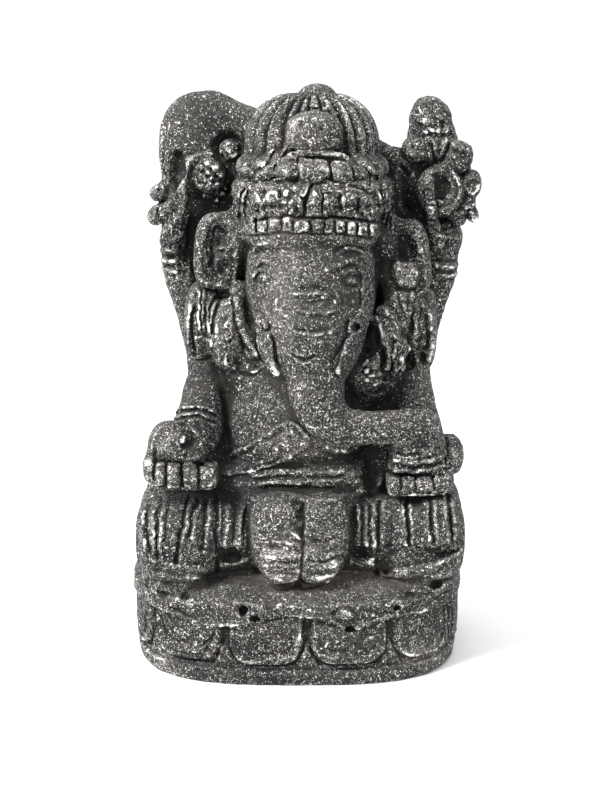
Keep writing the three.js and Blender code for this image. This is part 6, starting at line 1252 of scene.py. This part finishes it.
def build_mesh():
    c = make(GRID)
    V, Q = nets(c.d, c.lo, c.h)
    V[:, 2] = np.maximum(V[:, 2], 0)
    me = bpy.data.meshes.new('statue_raw')
    me.vertices.add(len(V)); me.vertices.foreach_set('co', (V * 0.001).astype(np.float32).ravel())
    me.loops.add(len(Q) * 4); me.loops.foreach_set('vertex_index', Q.astype(np.int32).ravel())
    me.polygons.add(len(Q)); me.polygons.foreach_set('loop_start', np.arange(0, len(Q) * 4, 4, dtype=np.int32))
    me.update(calc_edges=True); me.validate()
    raw = bpy.data.objects.new('raw', me); bpy.context.scene.collection.objects.link(raw)
    dec = raw.modifiers.new('thin', 'DECIMATE'); dec.ratio = TRIANGLES / (2.0 * len(Q)); dec.use_collapse_triangulate = True
    dg = bpy.context.evaluated_depsgraph_get()
    out = bpy.data.meshes.new_from_object(raw.evaluated_get(dg))
    bpy.data.objects.remove(raw); bpy.data.meshes.remove(me)
    out.name = 'ganesha_stone'
    n = len(out.vertices)
    P = np.empty(n * 3, np.float32); out.vertices.foreach_get('co', P); P = P.reshape(-1, 3).astype(float) * 1000
    for name, (g, lo, h) in fill_share(c).items():
        a = out.attributes.new(name, 'FLOAT', 'POINT')
        a.data.foreach_set('value', trilinear(g, lo, h, P).astype(np.float32))
    # soot and dust, with painted shade and painted light, from the dabs
    out.attributes.new('soot_dust_and_painted_light', 'FLOAT', 'POINT').data.foreach_set('value', dabs(P).astype(np.float32))
    out.polygons.foreach_set('use_smooth', np.ones(len(out.polygons), bool))
    out.update()
    print('mesh', len(out.vertices), len(out.polygons), P.min(0), P.max(0))
    return out

# ---------------------------------------------------------------- stone
class Net:
    """Short names for making shader nodes."""
    def __init__(s, mat):
        mat.use_nodes = True; s.t = mat.node_tree; s.t.nodes.clear()
        s.pos = s.t.nodes.new('ShaderNodeTexCoord').outputs['Object']
    def link(s, a, sock):
        if isinstance(a, (int, float)): sock.default_value = a
        elif isinstance(a, tuple): sock.default_value = a
        else: s.t.links.new(a, sock)
    def math(s, op, a, b=0.0, c=0.0, clamp=False):
        n = s.t.nodes.new('ShaderNodeMath'); n.operation = op; n.use_clamp = clamp
        for k, x in enumerate((a, b, c)): s.link(x, n.inputs[k])
        return n.outputs[0]
    def remap(s, x, a, b, lo=0.0, hi=1.0, smooth=True):
        n = s.t.nodes.new('ShaderNodeMapRange'); n.interpolation_type = 'SMOOTHSTEP' if smooth else 'LINEAR'
        for k, v in enumerate((x, a, b, lo, hi)): s.link(v, n.inputs[k])
        return n.outputs[0]
    def attr(s, name):
        n = s.t.nodes.new('ShaderNodeAttribute'); n.attribute_name = name
        return n.outputs['Fac']
    def shift(s, v, at=(0, 0, 0), turn=(0, 0, 0), scale=(1, 1, 1)):
        n = s.t.nodes.new('ShaderNodeMapping'); s.link(v, n.inputs[0]); n.inputs[1].default_value = at
        n.inputs[2].default_value = tuple(math.radians(x) for x in turn); n.inputs[3].default_value = scale
        return n.outputs[0]
    def noise(s, scale, detail=2.0, rough=0.5, v=None, warp=0.0, color=False):
        n = s.t.nodes.new('ShaderNodeTexNoise'); s.link(v if v is not None else s.pos, n.inputs['Vector'])
        n.inputs['Scale'].default_value = scale; n.inputs['Detail'].default_value = detail; n.inputs['Roughness'].default_value = rough
        n.inputs['Distortion'].default_value = warp
        return n.outputs['Color' if color else 'Fac']
    def cells(s, scale, v=None, feature='F1', rnd=1.0):
        n = s.t.nodes.new('ShaderNodeTexVoronoi'); n.feature = feature; s.link(v if v is not None else s.pos, n.inputs['Vector'])
        n.inputs['Scale'].default_value = scale; n.inputs['Randomness'].default_value = rnd
        return n
    def mix(s, f, a, b, mode='MIX'):
        n = s.t.nodes.new('ShaderNodeMix'); n.data_type = 'RGBA'; n.blend_type = mode
        s.link(f, n.inputs[0]); s.link(a, n.inputs[6]); s.link(b, n.inputs[7])
        return n.outputs[2]
    def blendv(s, v, f, amount):
        """v moved by a coloured noise f, amount in metres."""
        a = s.t.nodes.new('ShaderNodeVectorMath'); a.operation = 'SUBTRACT'; s.link(f, a.inputs[0]); a.inputs[1].default_value = (0.5, 0.5, 0.5)
        b = s.t.nodes.new('ShaderNodeVectorMath'); b.operation = 'SCALE'; s.link(a.outputs[0], b.inputs[0]); b.inputs['Scale'].default_value = amount
        c = s.t.nodes.new('ShaderNodeVectorMath'); c.operation = 'ADD'; s.link(v, c.inputs[0]); s.link(b.outputs[0], c.inputs[1])
        return c.outputs[0]

def stone():
    m = bpy.data.materials.new('dark_cast_stone'); g = Net(m)
    fine, mid, wide, deep = (g.attr(k) for k in ('fine', 'mid', 'wide', 'deep'))
    def grains(turn, at, scale=1050, long=0.24):
        """A noise drawn out along one direction: short grains, under 1 mm by 3 to 4 mm."""
        return g.noise(scale, 1.0, 0.5, v=g.shift(g.shift(g.pos, (0, 0, 0), turn), at, (0, 0, 0), (long, 1, 1)), warp=0.35)
    n = g.math('MAXIMUM', grains((0, 0, 12), (0.1, 0.2, 0.3)), g.math('MAXIMUM', grains((0, 72, 25), (0.6, 0.1, 0.5)), grains((20, -48, -20), (0.3, 0.7, 0.2))))
    brk = g.noise(300, 1.5, 0.55, v=g.shift(g.pos, (0.13, 0.07, 0.19)))
    def threads(scale, at, thin):
        """Thin bent lines, cut short."""
        a = g.noise(scale, 0.0, 0.5, v=g.shift(g.pos, at), warp=0.6)
        b = g.noise(scale * 1.15, 1.0, 0.5, v=g.shift(g.pos, (at[1], at[2], at[0])))
        return g.math('MULTIPLY', g.remap(g.math('ABSOLUTE', g.math('SUBTRACT', a, 0.5)), thin, thin * 0.35), g.remap(b, 0.53, 0.58))
    thread = g.math('MAXIMUM', g.math('MAXIMUM', threads(270, (0.3, 0.9, 0.2), 0.019), threads(390, (0.7, 0.4, 0.8), 0.025)), threads(560, (0.1, 0.6, 0.3), 0.034))
    bare = g.noise(34, 2.0, 0.5, v=g.shift(g.pos, (0.4, 0.6, 0.1)))
    dots = g.cells(700)
    rnd = g.t.nodes.new('ShaderNodeSeparateColor'); g.link(dots.outputs['Color'], rnd.inputs[0])
    dot = g.math('MULTIPLY', g.remap(dots.outputs['Distance'], 0.33, 0.18), g.remap(rnd.outputs[0], 0.87, 0.90, smooth=False))
    pit = g.math('MULTIPLY', g.remap(dots.outputs['Distance'], 0.48, 0.22), g.remap(rnd.outputs[1], 0.80, 0.83, smooth=False))
    broad = g.noise(26, 3.0, 0.55)
    patch = g.noise(75, 3.0, 0.6, v=g.shift(g.pos, (0.5, 0.2, 0.3)))
    grit = g.noise(900, 2.0, 0.7)
    gaps = g.remap(g.noise(380, 2.0, 0.6, v=g.shift(g.pos, (0.9, 0.4, 0.6))), 0.47, 0.33)
    ridge = g.remap(g.math('ADD', g.math('MULTIPLY', fine, 0.6), g.math('MULTIPLY', mid, 0.4)), 0.47, 0.34)
    edge = g.remap(wide, 0.50, 0.34)
    lie = g.t.nodes.new('ShaderNodeNewGeometry')
    crest = g.remap(lie.outputs['Pointiness'], 0.512, 0.60)
    crease = g.remap(lie.outputs['Pointiness'], 0.488, 0.41)
    hollow = g.remap(g.math('ADD', g.math('MULTIPLY', fine, 0.7), g.math('MULTIPLY', mid, 0.3)), 0.515, 0.64)
    hollow_w = g.remap(wide, 0.52, 0.70)
    hollow_d = g.remap(deep, 0.50, 0.74)
    soot_dust_and_painted_light = g.attr('soot_dust_and_painted_light')
    # worn paint and painted highlight: the score of each point, and what passes is white; ridges and crests raise the
    # score, as dry-brushed wear and as painted highlight
    s = g.math('MULTIPLY', g.math('SUBTRACT', n, 0.735), 4.6)
    s = g.math('MAXIMUM', s, g.math('SUBTRACT', g.math('MULTIPLY', thread, 1.0), 0.44))
    s = g.math('ADD', s, g.math('MULTIPLY', g.math('SUBTRACT', bare, 0.5), 0.9))
    s = g.math('ADD', s, g.math('MULTIPLY', g.math('SUBTRACT', brk, 0.5), 0.8))
    # ridges and crests: dry-brushed wear that is also a painted highlight along the edges, broken up in patches below
    up = g.math('MAXIMUM', g.math('ADD', g.math('MULTIPLY', ridge, 0.6), g.math('MULTIPLY', crest, 0.5)), crest)
    # fewer whites under the dabs of soot and painted shade, more under those of dust and painted light
    s = g.math('SUBTRACT', s, g.math('MULTIPLY', soot_dust_and_painted_light, 0.42))
    ridge_wear_and_highlight_breakup = g.remap(g.noise(58, 3.0, 0.6, v=g.shift(g.pos, (0.25, 0.35, 0.95))), 0.40, 0.60, 0.30, 1.0)
    up = g.math('MULTIPLY', up, ridge_wear_and_highlight_breakup)
    s = g.math('ADD', s, g.math("MULTIPLY", up, 0.78))
    s = g.math('SUBTRACT', s, g.math('MULTIPLY', crease, 0.30))
    s = g.math('ADD', s, g.math('MULTIPLY', edge, 0.06))
    s = g.math('ADD', s, g.math('MULTIPLY', g.math('SUBTRACT', patch, 0.5), 0.7))
    s = g.math('ADD', s, g.math('MULTIPLY', g.math('SUBTRACT', grit, 0.5), 0.3))
    s = g.math('SUBTRACT', s, g.math('MULTIPLY', g.math('MAXIMUM', hollow, hollow_w), 0.55))
    s = g.math('SUBTRACT', s, g.math('MULTIPLY', hollow_d, 0.35))
    white = g.math('MAXIMUM', g.remap(s, 0.21, 0.39), g.math('MULTIPLY', dot, g.math('SUBTRACT', 0.9, g.math('MAXIMUM', g.math('MULTIPLY', hollow_w, 0.5), g.math('MULTIPLY', soot_dust_and_painted_light, 0.7)))))
    base = g.mix(g.remap(broad, 0.35, 0.65), (0.012, 0.012, 0.012, 1), (0.034, 0.033, 0.031, 1))
    mottle = g.noise(430, 3.0, 0.7, v=g.shift(g.pos, (0.8, 0.1, 0.7)))
    base = g.mix(g.remap(mottle, 0.50, 0.68, 0.0, 0.55), base, (0.115, 0.112, 0.106, 1))
    base = g.mix(g.math('MAXIMUM', g.remap(patch, 0.48, 0.75, 0.0, 0.6), g.math('MULTIPLY', hollow_w, 0.5)), base, (0.058, 0.049, 0.039, 1))
    base = g.mix(g.remap(s, -0.30, 0.28, 0.0, 0.80), base, (0.125, 0.122, 0.115, 1))
    # painted highlight and dry-brushed wear: the base lightened along ridges and crests
    base = g.mix(g.math('MULTIPLY', up, g.remap(brk, 0.36, 0.60, 0.2, 0.8)), base, (0.165, 0.161, 0.152, 1))
    base = g.mix(g.math('MULTIPLY', g.math('MAXIMUM', pit, gaps), 0.85), base, (0.008, 0.008, 0.008, 1))
    # painted shade: hollows, creases and deep recesses darkened towards black, less so under the dabs of dust
    painted_crevice_shade = g.math('MAXIMUM', g.math('MAXIMUM', g.math('MULTIPLY', hollow, 0.85), g.math('MULTIPLY', crease, 0.75)), g.math('MAXIMUM', g.math('MULTIPLY', hollow_w, 0.70), g.math('MULTIPLY', hollow_d, 0.75)))
    painted_crevice_shade = g.math('MULTIPLY', painted_crevice_shade, g.remap(soot_dust_and_painted_light, -0.8, 0.0, 0.35, 1.0))
    base = g.mix(painted_crevice_shade, base, (0.006, 0.006, 0.006, 1))
    # soot and painted shade: positive dabs darken the base
    base = g.mix(g.remap(soot_dust_and_painted_light, 0.0, 1.0, 0.0, 0.85, smooth=False), base, (0.010, 0.010, 0.010, 1))
    # dust and painted light: negative dabs lighten the base
    base = g.mix(g.math('MULTIPLY', g.remap(soot_dust_and_painted_light, 0.0, -1.0, 0.0, 1.0, smooth=False), g.remap(mottle, 0.35, 0.62, 0.25, 0.75)), base, (0.161, 0.149, 0.135, 1))
    # painted light and shade: the base made lighter on faces that look up, partly as settled dust, and darker on faces
    # that look down
    sep = g.t.nodes.new('ShaderNodeSeparateXYZ'); g.link(lie.outputs['Normal'], sep.inputs[0])
    base = g.mix(1.0, base, g.remap(sep.outputs[2], -0.7, 0.75, 0.50, 1.25), 'MULTIPLY')
    col = g.mix(white, base, (0.80, 0.785, 0.75, 1))
    hgt = g.math('ADD', g.math('MULTIPLY', g.remap(s, -0.3, 0.6), 0.7), g.math('MULTIPLY', grit, 0.3))
    hgt = g.math('SUBTRACT', hgt, g.math('MULTIPLY', g.math('MAXIMUM', pit, gaps), 0.4))
    hgt = g.math('ADD', hgt, g.math('MULTIPLY', g.noise(150, 2.0, 0.6, v=g.shift(g.pos, (0.2, 0.8, 0.4))), 2.2))
    bp = g.t.nodes.new('ShaderNodeBump'); bp.inputs['Strength'].default_value = 0.8; bp.inputs['Distance'].default_value = 0.0006
    g.link(hgt, bp.inputs['Height'])
    p = g.t.nodes.new('ShaderNodeBsdfPrincipled')
    g.link(col, p.inputs['Base Color']); g.link(bp.outputs[0], p.inputs['Normal'])
    g.link(g.remap(grit, 0.3, 0.7, 0.58, 0.84), p.inputs['Roughness'])
    p.inputs['Specular IOR Level'].default_value = 0.16
    o = g.t.nodes.new('ShaderNodeOutputMaterial'); g.link(p.outputs[0], o.inputs['Surface'])
    return m

# ---------------------------------------------------------------- floor, light, camera
def studio():
    me = bpy.data.meshes.new('floor'); R = 6.0
    me.from_pydata([(-R, -R, 0), (R, -R, 0), (R, R, 0), (-R, R, 0)], [], [(0, 1, 2, 3)])
    fl = bpy.data.objects.new('floor', me); bpy.context.scene.collection.objects.link(fl)
    fm = bpy.data.materials.new('pale_floor'); g = Net(fm)
    s = g.t.nodes.new('ShaderNodeBsdfPrincipled'); s.inputs['Roughness'].default_value = 0.9
    g.link(g.mix(g.noise(3.0, 2.0, 0.5), (0.86, 0.86, 0.855, 1), (0.90, 0.90, 0.895, 1)), s.inputs['Base Color'])
    s.inputs['Specular IOR Level'].default_value = 0.1
    o = g.t.nodes.new('ShaderNodeOutputMaterial'); g.link(s.outputs[0], o.inputs['Surface'])
    me.materials.append(fm)
    w = bpy.data.worlds.new('studio'); bpy.context.scene.world = w; w.use_nodes = True
    bg = w.node_tree.nodes['Background']; bg.inputs[0].default_value = (1, 1, 1, 1); bg.inputs[1].default_value = 1.15
    def area(name, at, size, energy, look=(0, 0, 0.2), color=(1, 1, 1)):
        l = bpy.data.lights.new(name, 'AREA'); l.shape = 'SQUARE'; l.size = size; l.energy = energy; l.color = color
        o = bpy.data.objects.new(name, l); bpy.context.scene.collection.objects.link(o); o.location = at
        o.rotation_euler = (Vector(look) - Vector(at)).to_track_quat('-Z', 'Y').to_euler()
    area('key', (-1.05, -0.85, 1.4), 0.5, 50.0)
    area('fill', (1.2, -1.3, 0.7), 1.2, 1.0)
    area('top', (0.1, 0.4, 1.5), 0.8, 6.0)
    sc = bpy.context.scene
    sc.view_settings.view_transform = 'Standard'; sc.view_settings.look = 'None'; sc.view_settings.exposure = 0; sc.view_settings.gamma = 1

def camera():
    cam = bpy.data.cameras.new('camera'); o = bpy.data.objects.new('camera', cam); bpy.context.scene.collection.objects.link(o)
    cam.sensor_fit = 'AUTO'; cam.sensor_width = 36; cam.lens = VIEW.FPX / 800 * 36
    cam.shift_x = (300 - VIEW.U0) / 800; cam.clip_start = 0.05; cam.clip_end = 50
    o.location = Vector(VIEW.C * 0.001)
    o.rotation_euler = Matrix((VIEW.R, VIEW.U, -VIEW.F)).transposed().to_euler()
    bpy.context.scene.camera = o

camera()
studio()
statue = bpy.data.objects.new('ganesha_stone', build_mesh())
bpy.context.scene.collection.objects.link(statue)
statue.data.materials.append(stone())
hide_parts('ganesha_statue')
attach(statue, 'root')
